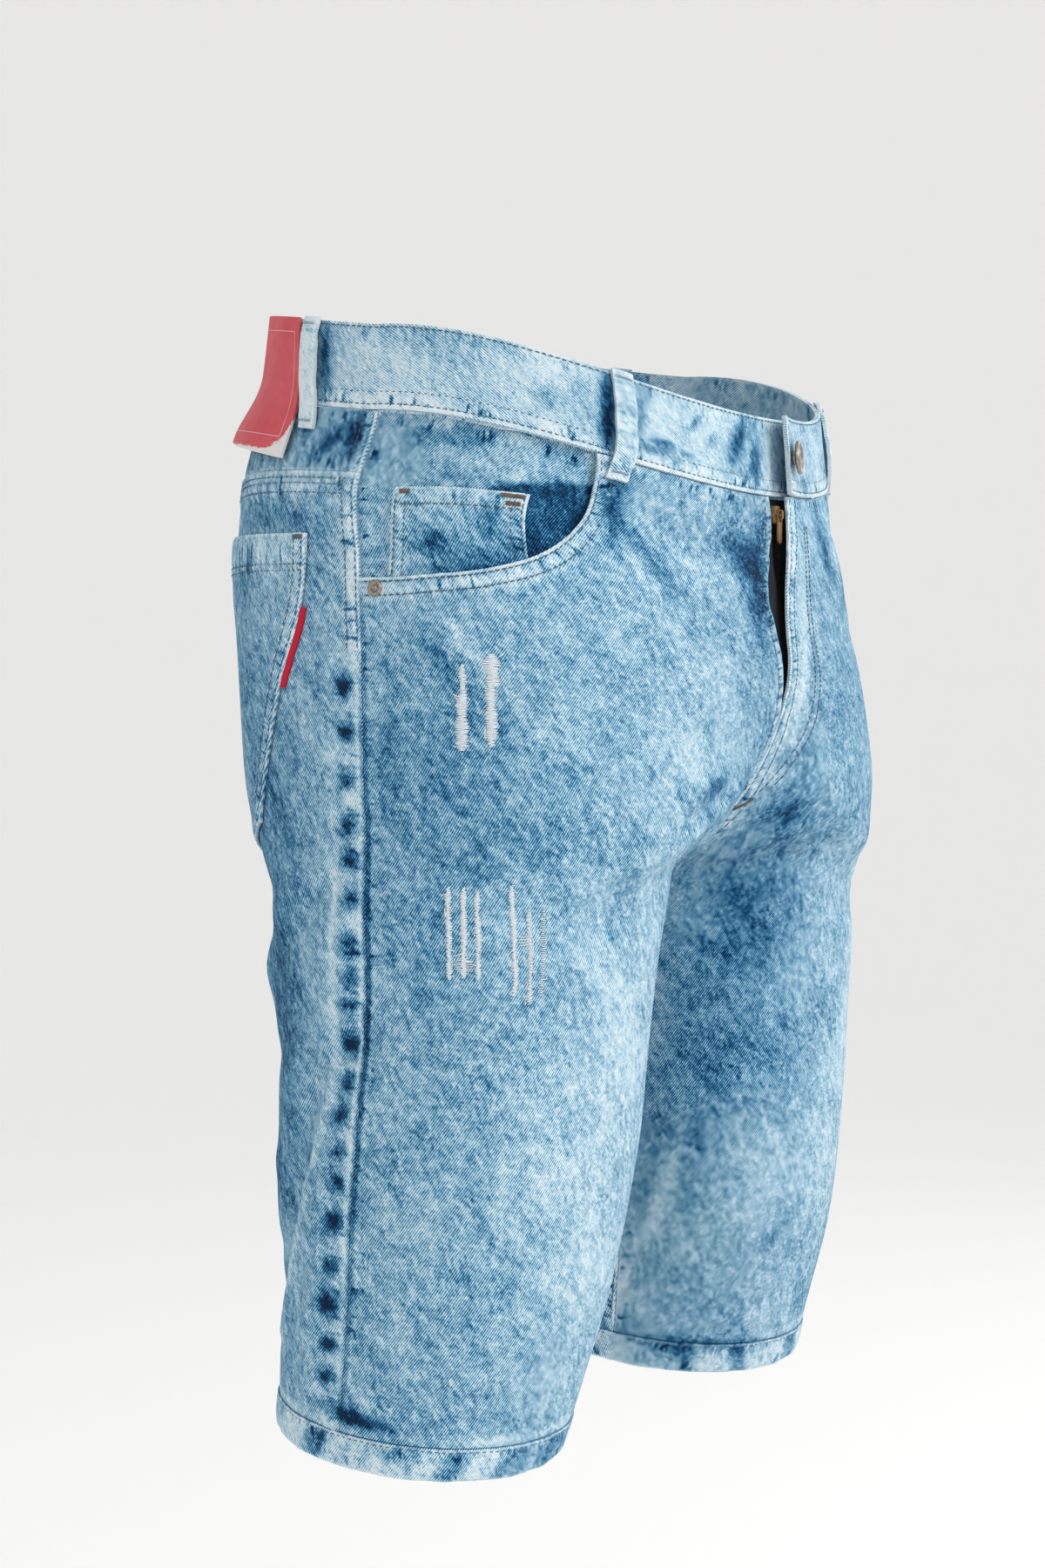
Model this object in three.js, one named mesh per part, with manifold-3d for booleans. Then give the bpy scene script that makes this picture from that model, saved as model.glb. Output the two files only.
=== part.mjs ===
// Knee-length denim shorts in their worn shape, hollow and open at the waist and at both hems.
// Millimetres, +Z up, front facing -Y, the wearer's right side at -X.
// The origin is the centre of the waist opening, level with the band's top edge at the side seams.
//
// Cloth coordinates: side (-1 right, 1 left), u (mm round from the side seam, minus to the front,
// plus to the back), z (drafting height, 0 at the band's top edge, before the waist dips at the front)
// and out (mm outside the face of the cloth).
import * as THREE from "three";
import { mergeVertices } from "three/addons/utils/BufferGeometryUtils.js";
import Module from "manifold-3d";

const wasm = await Module();
wasm.setup();

// Heights on the drafted garment
const BAND_HEIGHT = 42;
const SPLIT_Z = -140;
const CROTCH_Z = -274;
const LEG_ALONE_Z = -330;
const HEM_Z = -558;
const HEM_HEIGHT = 18;
const LEG_CENTRE_X = -100;

// Thicknesses and clearances
const CLOTH = 1.6;
const BAND = 3;
const BAND_OUT = 1;
const HEM = 3;
const HEM_OUT = 0.8;
const SEAM = 0.3;
const BAND_SEAM = 0.6;
const ON_PANEL = 0.45;
const BEHIND_PANEL = 2.4;

// Waist line: how far it dips at the centre front and rises at the centre back
const FRONT_DIP = 41;
const BACK_RISE = 18;
const WAIST_FRONT_Y = 137;
const WAIST_BACK_Y = 130;
const FRONT_DIP_POWER = 1.9;
const BACK_RISE_POWER = 1.1;
const DIP_DEPTH = 230;
const HEM_TILT = 0.09;
const HEM_LEVEL_Y = 70;
const HEM_TILT_TOP_Z = -300;
const HEM_TILT_FOOT_Z = -550;

// Where the body's section gives way to the leg's: slowly at the crotch, sooner towards the side
const CROTCH_POWER = 1.9;
const CROTCH_REACH = { from: -0.2, to: 0.85 };
const LEGS_APART = 60;

const RIGHT = -1;
const LEFT = 1;

function table(names, rows) {
  const columns = names.split(" ");
  return rows.map((row) => Object.fromEntries(columns.map((name, i) => [name, row[i]])));
}

// Sections of the body of the garment: a superellipse about the centre line
const TORSO = table("z half front back frontPower backPower", [
  [30, 168, 134, 126, 2.2, 2.1],
  [0, 170, 137, 130, 2.2, 2.1],
  [-42, 175, 140, 136, 2.25, 2.1],
  [-80, 184, 143, 147, 2.35, 2.1],
  [-120, 192, 145, 149, 2.5, 2.1],
  [-160, 197, 146, 142, 2.55, 2.1],
  [-220, 200, 144, 128, 2.55, 2.1],
  [-300, 200, 145, 112, 2.5, 2.1],
]);

// Sections of the right leg about its own centre
const LEG = table("z x y half front back power", [
  [-140, -100, 0, 100, 146, 140, 2.3],
  [-225, -100, -4, 100, 124, 118, 2.25],
  [-274, -100, -9, 100, 102, 104, 2.2],
  [-320, -106, -12, 95, 98, 99, 2.1],
  [-360, -110, -13, 90, 95, 95, 2.1],
  [-400, -113, -12.5, 87, 93, 93, 2.1],
  [-440, -116, -9.5, 83, 90, 90, 2.1],
  [-480, -118, -6, 79, 85, 85, 2.05],
  [-520, -119, 0.5, 75, 79, 79, 2.05],
  [-560, -120, 7, 72, 73, 73, 2.05],
]);

// The left leg stands a little further forward
const LEFT_FORWARD = table("z y", [
  [-140, 0],
  [-200, -7],
  [-272, -18],
  [-320, -17],
  [-400, -15],
  [-480, -19],
  [-560, -22],
]);

// How far the side seam turns to the front, in radians round the leg's centre
const SIDE_TURN = table("z turn", [
  [0, 0.02],
  [-42, 0.06],
  [-80, -0.03],
  [-115, 0.04],
  [-160, 0.08],
  [-240, 0.075],
  [-280, 0.03],
  [-320, 0.02],
  [-360, -0.03],
  [-400, -0.07],
  [-440, -0.09],
  [-520, -0.08],
  [-560, -0.05],
]);

// The largest folds: soft ridges (plus) and troughs (minus) along a line from u, z to uEnd, zEnd
const FOLDS = table("side u z uEnd zEnd width height", [
  [RIGHT, -150, -262, -232, -236, 16, 5],
  [RIGHT, -120, -290, -215, -262, 15, -4],
  [LEFT, -150, -268, -232, -240, 16, 5],
  [LEFT, -110, -300, -215, -268, 15, -4],
  [RIGHT, 96, -292, 190, -272, 17, -5],
  [RIGHT, 110, -325, 200, -300, 16, 4],
  [LEFT, 96, -296, 190, -276, 17, -5],
  [LEFT, 110, -330, 200, -304, 16, 4],
  [RIGHT, 12, -350, 80, -500, 13, -4],
  [LEFT, 14, -360, 78, -505, 13, -4],
  [RIGHT, 24, -300, 22, -520, 11, 3],
  [LEFT, 24, -310, 22, -520, 11, 3],
  [RIGHT, -120, -60, -190, -86, 12, -2.5],
  [LEFT, -120, -60, -190, -86, 12, -2.5],
]);
const FOLD_EDGE = 22;

function clamp(value, low, high) {
  return Math.min(Math.max(value, low), high);
}

function mix(a, b, t) {
  return a + (b - a) * t;
}

// 0 up to a, 1 from b on, and a smooth step between them
function step(a, b, value) {
  const t = clamp((value - a) / (b - a), 0, 1);
  return t * t * (3 - 2 * t);
}

// A column's value at height z, on a smooth curve through the rows
function at(rows, name, z) {
  const last = rows.length - 1;
  const height = clamp(z, rows[last].z, rows[0].z);
  let i = 0;
  while (i < last - 1 && height < rows[i + 1].z) i += 1;
  const slope = (k) => {
    const above = rows[Math.max(k - 1, 0)];
    const below = rows[Math.min(k + 1, last)];
    return (below[name] - above[name]) / (below.z - above.z);
  };
  const span = rows[i + 1].z - rows[i].z;
  const t = (height - rows[i].z) / span;
  const start = rows[i][name] * (1 + 2 * t) * (1 - t) ** 2 + slope(i) * span * t * (1 - t) ** 2;
  const end = rows[i + 1][name] * t * t * (3 - 2 * t) + slope(i + 1) * span * t * t * (t - 1);
  return start + end;
}

function remember(work) {
  const known = new Map();
  return (key) => {
    if (!known.has(key)) known.set(key, work(key));
    return known.get(key);
  };
}

// Every size of the section at height z
const section = remember((z) => ({
  z,
  half: at(TORSO, "half", z),
  front: at(TORSO, "front", z),
  back: at(TORSO, "back", z),
  frontPower: at(TORSO, "frontPower", z),
  backPower: at(TORSO, "backPower", z),
  x: at(LEG, "x", z),
  y: at(LEG, "y", z),
  legHalf: at(LEG, "half", z),
  legFront: at(LEG, "front", z),
  legBack: at(LEG, "back", z),
  legPower: at(LEG, "power", z),
  innerLeg: clamp((SPLIT_Z - z) / (SPLIT_Z - CROTCH_Z), 0, 1) ** CROTCH_POWER,
  outerLeg: step(-SPLIT_Z, -LEG_ALONE_Z, -z),
  forward: at(LEFT_FORWARD, "y", z),
  turn: at(SIDE_TURN, "turn", z),
}));

// Newton's method for the reach below: its first guess, limits and rounds
const REACH = { guess: 150, change: 60, least: 5, most: 500, rounds: 24 };

// Distance from the leg's centre line to the body's section, at an angle round it
function torsoReach(angle, s) {
  const c = Math.cos(angle);
  const d = Math.sin(angle);
  const power = d < 0 ? s.frontPower : s.backPower;
  const depth = d < 0 ? s.front : s.back;
  let r = REACH.guess;
  for (let i = 0; i < REACH.rounds; i += 1) {
    const x = LEG_CENTRE_X + r * c;
    const y = r * d;
    const excess = Math.abs(x / s.half) ** power + Math.abs(y / depth) ** power - 1;
    const alongX = (Math.abs(x / s.half) ** (power - 1) * Math.sign(x) * c) / s.half;
    const alongY = (Math.abs(y / depth) ** (power - 1) * Math.sign(y) * d) / depth;
    const rate = Math.max(power * (alongX + alongY), 1e-6);
    r = clamp(r - clamp(excess / rate, -REACH.change, REACH.change), REACH.least, REACH.most);
  }
  return r;
}

function legReach(angle, s) {
  const depth = Math.sin(angle) < 0 ? s.legFront : s.legBack;
  const across = Math.abs(Math.cos(angle) / s.legHalf) ** s.legPower;
  const along = Math.abs(Math.sin(angle) / depth) ** s.legPower;
  return (across + along) ** (-1 / s.legPower);
}

// The waist dips at the front and rises at the back, and the hem is a little lower in front
function lift(y, z) {
  const waist = 1 - step(0, DIP_DEPTH, -z);
  const front = FRONT_DIP * Math.max(-y / WAIST_FRONT_Y, 0) ** FRONT_DIP_POWER;
  const back = BACK_RISE * Math.max(y / WAIST_BACK_Y, 0) ** BACK_RISE_POWER;
  const hem = step(-HEM_TILT_TOP_Z, -HEM_TILT_FOOT_Z, -z) * HEM_TILT * (y - HEM_LEVEL_Y);
  return waist * (back - front) + hem;
}

// A point of the garment's outer face, at an angle round the leg's centre
function skin(side, angle, z) {
  const s = section(z);
  const leg = mix(s.outerLeg, s.innerLeg, step(CROTCH_REACH.from, CROTCH_REACH.to, Math.cos(angle)));
  const r = mix(torsoReach(angle, s), legReach(angle, s), leg);
  const x = s.x + r * Math.cos(angle);
  const y = s.y + r * Math.sin(angle);
  const apart = Math.max(step(0, LEGS_APART, -x), step(0, LEGS_APART, CROTCH_Z - z));
  const forward = side === LEFT ? s.forward * apart : 0;
  return new THREE.Vector3(-side * x, y + forward, z + lift(y, z));
}

function skinNormal(side, angle, z) {
  const turn = 0.01;
  const rise = 1;
  const round = skin(side, angle + turn, z).sub(skin(side, angle - turn, z));
  const up = skin(side, angle, z + rise).sub(skin(side, angle, z - rise));
  return round.cross(up).multiplyScalar(-side).normalize();
}

// The angle where the section meets the middle of the garment, short of it by half a seam
function middleAngle(z, sign) {
  if (z <= CROTCH_Z) return 0;
  let low = 0;
  let high = 1.4;
  for (let i = 0; i < 40; i += 1) {
    const angle = (low + high) / 2;
    const over = skin(RIGHT, sign * angle, z).x > -SEAM / 2;
    if (over) low = angle;
    else high = angle;
  }
  return sign * high;
}

const HALF_RING = 48;

// The section at height z as angles from the centre front to the centre back, with the distance of
// each from the side seam
const ring = remember((key) => {
  const [side, z] = key.split(" ").map(Number);
  const seam = -Math.PI + section(z).turn;
  const start = middleAngle(z, -1);
  const end = middleAngle(z, 1) - 2 * Math.PI;
  const angles = [];
  for (let i = 0; i < HALF_RING; i += 1) angles.push(mix(start, seam, i / HALF_RING));
  for (let i = 0; i <= HALF_RING; i += 1) angles.push(mix(seam, end, i / HALF_RING));
  const points = angles.map((angle) => skin(side, angle, z));
  const along = [0];
  for (let i = 1; i < points.length; i += 1) {
    along.push(along[i - 1] + points[i].distanceTo(points[i - 1]));
  }
  const arcs = along.map((length) => length - along[HALF_RING]);
  return { angles, arcs, front: arcs[0], back: arcs.at(-1) };
});

function frontEdge(side, z) {
  return ring(`${side} ${z}`).front;
}

function backEdge(side, z) {
  return ring(`${side} ${z}`).back;
}

function foldHeight(side, u, z) {
  const inset = Math.min(u - frontEdge(side, z), backEdge(side, z) - u);
  const fade = step(0, FOLD_EDGE, inset);
  const sum = FOLDS.filter((fold) => fold.side === side).reduce((height, fold) => {
    const du = fold.uEnd - fold.u;
    const dz = fold.zEnd - fold.z;
    const t = clamp(((u - fold.u) * du + (z - fold.z) * dz) / (du * du + dz * dz), 0, 1);
    const away = Math.hypot(u - fold.u - t * du, z - fold.z - t * dz);
    return height + fold.height * Math.exp(-((away / fold.width) ** 2));
  }, 0);
  return fade * sum;
}

// A place on the cloth, with its outward direction; past the centre it goes on round the other side
function place(side, u, z, out = 0) {
  const own = ring(`${side} ${z}`);
  if (u < own.front) return place(-side, frontEdge(-side, z) + own.front - u, z, out);
  if (u > own.back) return place(-side, backEdge(-side, z) + own.back - u, z, out);
  let i = 1;
  while (i < own.arcs.length - 1 && own.arcs[i] < u) i += 1;
  const t = (u - own.arcs[i - 1]) / (own.arcs[i] - own.arcs[i - 1]);
  const angle = mix(own.angles[i - 1], own.angles[i], t);
  const normal = skinNormal(side, angle, z);
  const point = skin(side, angle, z).addScaledVector(normal, out + foldHeight(side, u, z));
  return { point, normal };
}

// A closed solid between a grid of outer places and the same grid moved in by the thickness
function wall(grid, thickness, closedRound = false) {
  const rows = grid.length;
  const columns = grid[0].length;
  const positions = [];
  const layers = [0, thickness];
  for (const depth of layers) {
    for (const row of grid) {
      for (const spot of row) {
        positions.push(...spot.point.clone().addScaledVector(spot.normal, -depth).toArray());
      }
    }
  }
  const outer = (i, j) => i * columns + (j % columns);
  const inner = (i, j) => rows * columns + outer(i, j);
  const faces = [];
  const quad = (a, b, c, d) => faces.push(a, b, c, a, c, d);
  const foot = rows - 1;
  const end = columns - 1;
  const spans = closedRound ? columns : end;
  for (let i = 0; i < foot; i += 1) {
    for (let j = 0; j < spans; j += 1) {
      quad(outer(i, j), outer(i, j + 1), outer(i + 1, j + 1), outer(i + 1, j));
      quad(inner(i, j), inner(i + 1, j), inner(i + 1, j + 1), inner(i, j + 1));
    }
  }
  for (let j = 0; j < spans; j += 1) {
    quad(outer(0, j), inner(0, j), inner(0, j + 1), outer(0, j + 1));
    quad(outer(foot, j), outer(foot, j + 1), inner(foot, j + 1), inner(foot, j));
  }
  for (let i = 0; i < foot && !closedRound; i += 1) {
    quad(outer(i, 0), outer(i + 1, 0), inner(i + 1, 0), inner(i, 0));
    quad(outer(i, end), inner(i, end), inner(i + 1, end), outer(i + 1, end));
  }
  return facedOut(positions, faces);
}

function facedOut(positions, faces) {
  const corner = (i) => new THREE.Vector3().fromArray(positions, 3 * faces[i]);
  let volume = 0;
  for (let i = 0; i < faces.length; i += 3) {
    volume += corner(i).dot(corner(i + 1).cross(corner(i + 2)));
  }
  if (volume < 0) {
    for (let i = 0; i < faces.length; i += 3) {
      [faces[i + 1], faces[i + 2]] = [faces[i + 2], faces[i + 1]];
    }
  }
  const geometry = new THREE.BufferGeometry();
  geometry.setAttribute("position", new THREE.Float32BufferAttribute(positions, 3));
  geometry.setIndex(faces);
  geometry.computeVertexNormals();
  return geometry;
}

function spread(count, work) {
  return Array.from({ length: count + 1 }, (unused, i) => work(i / count, i));
}

// Materials
function finish(color, roughness, metalness = 0) {
  return new THREE.MeshStandardMaterial({ color, roughness, metalness });
}
const DENIM = () => finish(0x8fb6cc, 0.9);
const DARK_DENIM = () => finish(0x2c5d82, 0.92);
const RED = () => finish(0xc04a55, 0.75);
const TAPE = () => finish(0x1c2630, 0.9);
const PEWTER = () => finish(0x9a938a, 0.35, 0.9);
const ZIP_METAL = () => finish(0xb08a5a, 0.4, 0.9);

const shorts = new THREE.Group();

function add(name, geometry, material, parent = shorts) {
  const mesh = new THREE.Mesh(geometry, material);
  mesh.name = name;
  parent.add(mesh);
  return mesh;
}

// Panels

// Rows that the front and back panels share from the pocket down: the legs part quickly at the
// crotch, so the rows close up towards it
const SHARED_TOP_Z = -150;
const RISE_TOP_Z = -214;
const RISE_ROWS = 6;
const LEG_ROWS = 11;
const PANEL_FOOT_Z = HEM_Z + HEM_HEIGHT;

function sharedRows() {
  const body = spread(2, (t) => mix(SHARED_TOP_Z, RISE_TOP_Z, t));
  const rise = spread(RISE_ROWS, (t) => CROTCH_Z + (RISE_TOP_Z - CROTCH_Z) * (1 - t) ** 2);
  const leg = spread(LEG_ROWS, (t) => mix(CROTCH_Z, PANEL_FOOT_Z, t));
  return [...body, ...rise.slice(1), ...leg.slice(1)];
}

// The fly: where each front's edge lies, from the centre front, and how far the left flap stands out
const FLY = table("z right left stand", [
  [-42, 14, -4, 4.4],
  [-61, 14.5, -5, 4.6],
  [-75, 19, -6.5, 4.4],
  [-107, 24, -11, 4],
  [-129, 18, -11, 3.6],
  [-150, 12, -8, 2.8],
  [-172, 6, -4, 1.6],
  [-200, 0.15, 0.15, 0],
]);
const FLAP_BEND = 46;

function flyEdge(side, z) {
  if (z < FLY.at(-1).z) return SEAM / 2;
  return at(FLY, side === RIGHT ? "right" : "left", z);
}

function flapStand(side, u, z) {
  if (side === RIGHT || z < FLY.at(-1).z) return 0;
  const fromEdge = u - frontEdge(side, z) - flyEdge(side, z);
  return at(FLY, "stand", z) * (1 - step(0, FLAP_BEND, fromEdge));
}

// The curved mouth of the front pocket, from the band to the side seam
const POCKET_MOUTH = table("u z", [
  [-113, -42.6],
  [-116, -55],
  [-118, -68],
  [-116, -80],
  [-108, -91],
  [-96, -101],
  [-81, -109],
  [-61, -116],
  [-41, -120],
  [-20, -123],
  [-0.15, -124],
]);
const mouth = new THREE.SplineCurve(POCKET_MOUTH.map((row) => new THREE.Vector2(row.u, row.z)));
const WAIST_COLUMNS = 6;
const MOUTH_COLUMNS = 8;
const MOUTH_SHARE = 0.46;

function frontPanel(side) {
  const topZ = -BAND_HEIGHT - BAND_SEAM;
  const edge = (z) => frontEdge(side, z) + flyEdge(side, z);
  const toU = (share, z) => mix(edge(z), -SEAM / 2, share);
  const toShare = (u, z) => (u - edge(z)) / (-SEAM / 2 - edge(z));
  const corner = POCKET_MOUTH[0];
  const tops = [];
  for (let k = 0; k < WAIST_COLUMNS; k += 1) {
    const t = k / WAIST_COLUMNS;
    tops.push({ share: t * toShare(corner.u, topZ), z: topZ, foot: t * MOUTH_SHARE });
  }
  for (let k = 0; k <= MOUTH_COLUMNS; k += 1) {
    const t = k / MOUTH_COLUMNS;
    const point = mouth.getPointAt(t);
    tops.push({ share: Math.min(toShare(point.x, point.y), 1), z: point.y, foot: mix(MOUTH_SHARE, 1, t) });
  }
  const blended = spread(5, (t) => t).slice(0, -1).map((t) =>
    tops.map((top) => ({ share: mix(top.share, top.foot, t), z: mix(top.z, SHARED_TOP_Z, t) })),
  );
  const straight = sharedRows().map((z) => tops.map((top) => ({ share: top.foot, z })));
  const grid = [...blended, ...straight].map((row) =>
    row.map(({ share, z }) => {
      const u = toU(share, z);
      return place(side, u, z, flapStand(side, u, z));
    }),
  );
  return wall(grid, CLOTH);
}

// The yoke is narrow at the side seam and deepest at the centre back
const YOKE_SIDE = 31;
const YOKE_EXTRA = 31;
const YOKE_POWER = 1.8;
const BACK_COLUMNS = 13;

function yokeZ(share) {
  return -BAND_HEIGHT - YOKE_SIDE - YOKE_EXTRA * share ** YOKE_POWER;
}

function backU(side, share, z) {
  return mix(SEAM / 2, backEdge(side, z) - SEAM / 2, share);
}

function yoke(side) {
  const grid = spread(3, (t) =>
    spread(BACK_COLUMNS, (share) => {
      const z = mix(-BAND_HEIGHT - BAND_SEAM, yokeZ(share) + SEAM, t);
      return place(side, backU(side, share, z), z);
    }),
  );
  return wall(grid, CLOTH);
}

function backPanel(side) {
  const mouthZ = POCKET_MOUTH.at(-1).z;
  const upper = [0, 0.5].map((t) =>
    spread(BACK_COLUMNS, (share) => ({ share, z: mix(yokeZ(share), mouthZ, t) })),
  );
  const middle = [mouthZ, mix(mouthZ, SHARED_TOP_Z, 0.5)].map((z) =>
    spread(BACK_COLUMNS, (share) => ({ share, z })),
  );
  const lower = sharedRows().map((z) => spread(BACK_COLUMNS, (share) => ({ share, z })));
  const grid = [...upper, ...middle, ...lower].map((row) =>
    row.map(({ share, z }) => place(side, backU(side, share, z), z)),
  );
  return wall(grid, CLOTH);
}

// The hem is the leg's edge turned up twice, one closed band round each leg
const HEM_COLUMNS = 22;

function hem(side) {
  const levels = [PANEL_FOOT_Z - SEAM, HEM_Z + HEM_HEIGHT / 2, HEM_Z];
  const grid = levels.map((z) => {
    const front = spread(HEM_COLUMNS, (t) => place(side, mix(frontEdge(side, z), 0, t), z, HEM_OUT));
    const back = spread(HEM_COLUMNS, (t) => place(side, mix(0, backEdge(side, z), t), z, HEM_OUT));
    return [...front, ...back.slice(1, -1)];
  });
  return wall(grid, HEM, true);
}

// The waistband is one strip from the right end, under the flap, round the back to the left end
const BAND_RIGHT_END = -20;
const BAND_LEFT_END = -14;
const BAND_STAND = 4.5;
const BAND_BEND = 64;
const BAND_TUCK = 0.8;
const BAND_FLARE = { height: 8, start: 20, length: 36 };
const BAND_COLUMNS = 13;
const BAND_EASE = 1.35;

// The left end lies over the right one and flares away from the body at its tip
function bandFlare(fromCentre) {
  return BAND_FLARE.height * Math.max((BAND_FLARE.start - fromCentre) / BAND_FLARE.length, 0) ** 2;
}

function bandOut(side, fromCentre) {
  if (side === LEFT) {
    return BAND_OUT + BAND_STAND * (1 - step(0, BAND_BEND, fromCentre)) + bandFlare(fromCentre);
  }
  return BAND_OUT - BAND_TUCK * (1 - step(BAND_RIGHT_END, 20, fromCentre));
}

function waistband() {
  const grid = spread(2, (t) => {
    const z = -BAND_HEIGHT * t;
    const half = (side, end) => {
      const front = spread(BAND_COLUMNS, (share) => {
        const u = mix(frontEdge(side, z) + end, 0, share ** BAND_EASE);
        return place(side, u, z, bandOut(side, u - frontEdge(side, z)));
      });
      const back = spread(BAND_COLUMNS, (share) =>
        place(side, mix(0, backEdge(side, z), share), z, BAND_OUT),
      );
      return [...front, ...back.slice(1, -1)];
    };
    const centreBack = place(RIGHT, backEdge(RIGHT, z), z, BAND_OUT);
    return [...half(RIGHT, BAND_RIGHT_END), centreBack, ...half(LEFT, BAND_LEFT_END).reverse()];
  });
  return wall(grid, BAND);
}

// Front pockets: the facing that shows inside the mouth and the coin pocket on it
const FACING_WIDTH = 128;
const FACING_DEPTH = 95;
const FACING_START = -122;
const FACING_OUT = -4.1;
const FACING_SIDE_RISE = 1.7;
const FACING_POWER = 2.6;

function facing(side) {
  const topZ = -BAND_HEIGHT - BAND_SEAM;
  const grid = spread(5, (t) =>
    spread(8, (share) => {
      const u = mix(FACING_START, -SEAM / 2, share);
      const depth = FACING_DEPTH * (1 - (-u / FACING_WIDTH) ** FACING_POWER) ** (1 / FACING_POWER);
      const out = FACING_OUT + FACING_SIDE_RISE * step(-13, -1, u);
      return place(side, u, topZ - t * depth, out);
    }),
  );
  return wall(grid, CLOTH);
}

const COIN = {
  thickness: 1.3,
  top: { left: [-20.5, -79], right: [-88.5, -72] },
  foot: { left: [-13.5, -130], right: [-87.5, -124] },
};

function coinPocket(side) {
  const grid = spread(5, (t) =>
    spread(6, (share) => {
      const top = COIN.top.left.map((value, i) => mix(value, COIN.top.right[i], share));
      const foot = COIN.foot.left.map((value, i) => mix(value, COIN.foot.right[i], share));
      return place(side, mix(top[0], foot[0], t), mix(top[1], foot[1], t), -BEHIND_PANEL);
    }),
  );
  return wall(grid, COIN.thickness);
}

// Back pockets: the outer edge slants in towards the seat, and the foot comes to a blunt point
const POCKET_OUTER = table("z u", [
  [-104, 31],
  [-139, 36.5],
  [-177, 54],
  [-219, 70],
  [-246, 82],
]);
const POCKET_CLOTH = 1.4;
const POCKET_TOP_Z = { outer: -104, inner: -113 };
const POCKET_FOOT_Z = { outer: -246, point: -268, inner: -253 };
const POCKET_INNER_U = { top: 184, foot: 173 };
const POCKET_POINT = 0.5;

function pocketFootZ(share) {
  if (share < POCKET_POINT) return mix(POCKET_FOOT_Z.outer, POCKET_FOOT_Z.point, share / POCKET_POINT);
  return mix(POCKET_FOOT_Z.point, POCKET_FOOT_Z.inner, (share - POCKET_POINT) / (1 - POCKET_POINT));
}

function backPocket(side) {
  const grid = spread(12, (t) =>
    spread(12, (share) => {
      const outerZ = mix(POCKET_TOP_Z.outer, POCKET_FOOT_Z.outer, t);
      const inner = mix(POCKET_INNER_U.top, POCKET_INNER_U.foot, t);
      const u = mix(at(POCKET_OUTER, "u", outerZ), inner, share);
      const z = mix(mix(POCKET_TOP_Z.outer, POCKET_TOP_Z.inner, share), pocketFootZ(share), t);
      return place(side, u, z, ON_PANEL + POCKET_CLOTH);
    }),
  );
  return wall(grid, POCKET_CLOTH);
}

// A plain strip of binding beside the right back pocket's outer edge
const STRIP = { topZ: -140, footZ: -178, width: 3, thickness: 1.2 };

function pocketStrip() {
  const grid = spread(5, (t) =>
    spread(1, (share) => {
      const z = mix(STRIP.topZ, STRIP.footZ, t);
      const u = at(POCKET_OUTER, "u", z) - SEAM - STRIP.width * share;
      return place(RIGHT, u, z, ON_PANEL + STRIP.thickness);
    }),
  );
  return wall(grid, STRIP.thickness);
}

// Belt loops stand off the band in the middle and come down on the cloth below it
const LOOP_WIDTH = 11.5;
const LOOP_THICKNESS = 2.2;
const LOOP = table("z out", [
  [-0.5, 3.7],
  [-8, 4.6],
  [-24, 5.4],
  [-36, 5],
  [-44, 4],
  [-53, 2.8],
]);
const LOOP_SIDE_FRONT_U = -126;
const LOOP_SIDE_BACK_U = 43;

function beltLoop(side, middle) {
  const grid = spread(8, (t) => {
    const z = mix(LOOP[0].z, LOOP.at(-1).z, t);
    return spread(2, (share) => place(side, middle(z) + LOOP_WIDTH * (share - 0.5), z, at(LOOP, "out", z)));
  });
  return wall(grid, LOOP_THICKNESS);
}

// The patch is sewn to the band at the back right, and its loose foot stands away
const PATCH = { startU: 52, endU: 132, footZ: -66, thickness: 1.6, flare: 6 };

function patch() {
  const grid = spread(7, (t) =>
    spread(8, (share) => {
      const z = mix(-0.5, PATCH.footZ, t);
      const out = BAND_OUT + ON_PANEL + PATCH.thickness + PATCH.flare * step(30, -PATCH.footZ, -z);
      return place(RIGHT, mix(PATCH.startU, PATCH.endU, share), z, out);
    }),
  );
  return wall(grid, PATCH.thickness);
}

// Fly: the shield behind the opening and the zip's tape on it
const SHIELD = { right: 34, left: -20, topZ: -43, footZ: -186, out: -3.8, thickness: 1.4 };
const ZIP_TAPE = { right: 24, left: -7, topZ: -43.5, footZ: -176, out: -BEHIND_PANEL, thickness: 0.8 };

function flyStrip(size) {
  const grid = spread(8, (t) => {
    const z = mix(size.topZ, size.footZ, t);
    return spread(4, (share) => {
      const u = frontEdge(RIGHT, z) + mix(size.right, size.left, share);
      return place(RIGHT, u, z, size.out);
    });
  });
  return wall(grid, size.thickness);
}

// Solids from three.js geometries, joined
function solid(geometry) {
  const bare = geometry.index ? geometry.toNonIndexed() : geometry.clone();
  bare.deleteAttribute("normal");
  bare.deleteAttribute("uv");
  const merged = mergeVertices(bare, 1e-4);
  const mesh = new wasm.Mesh({
    numProp: 3,
    vertProperties: new Float32Array(merged.attributes.position.array),
    triVerts: new Uint32Array(merged.index.array),
  });
  return new wasm.Manifold(mesh);
}

function fromSolid(made) {
  const mesh = made.getMesh();
  const geometry = new THREE.BufferGeometry();
  geometry.setAttribute("position", new THREE.Float32BufferAttribute(mesh.vertProperties, 3));
  geometry.setIndex(Array.from(mesh.triVerts));
  geometry.computeVertexNormals();
  return geometry;
}

// The slider's face points to -Y; its bail is a small arch that the pull's eye hangs on
const SLIDER = { x: -10, z: -53, top: 7, foot: 5.2, height: 9, back: -1.6, thickness: 3 };
const BAIL = { width: 1.4, reach: 2.6, bar: 0.8, inside: 2.4 };
const PULL = { axis: 1.3, width: 4.4, eyeWidth: 3, bar: 0.5, eye: 3.9, length: 15, thickness: 1 };

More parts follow.
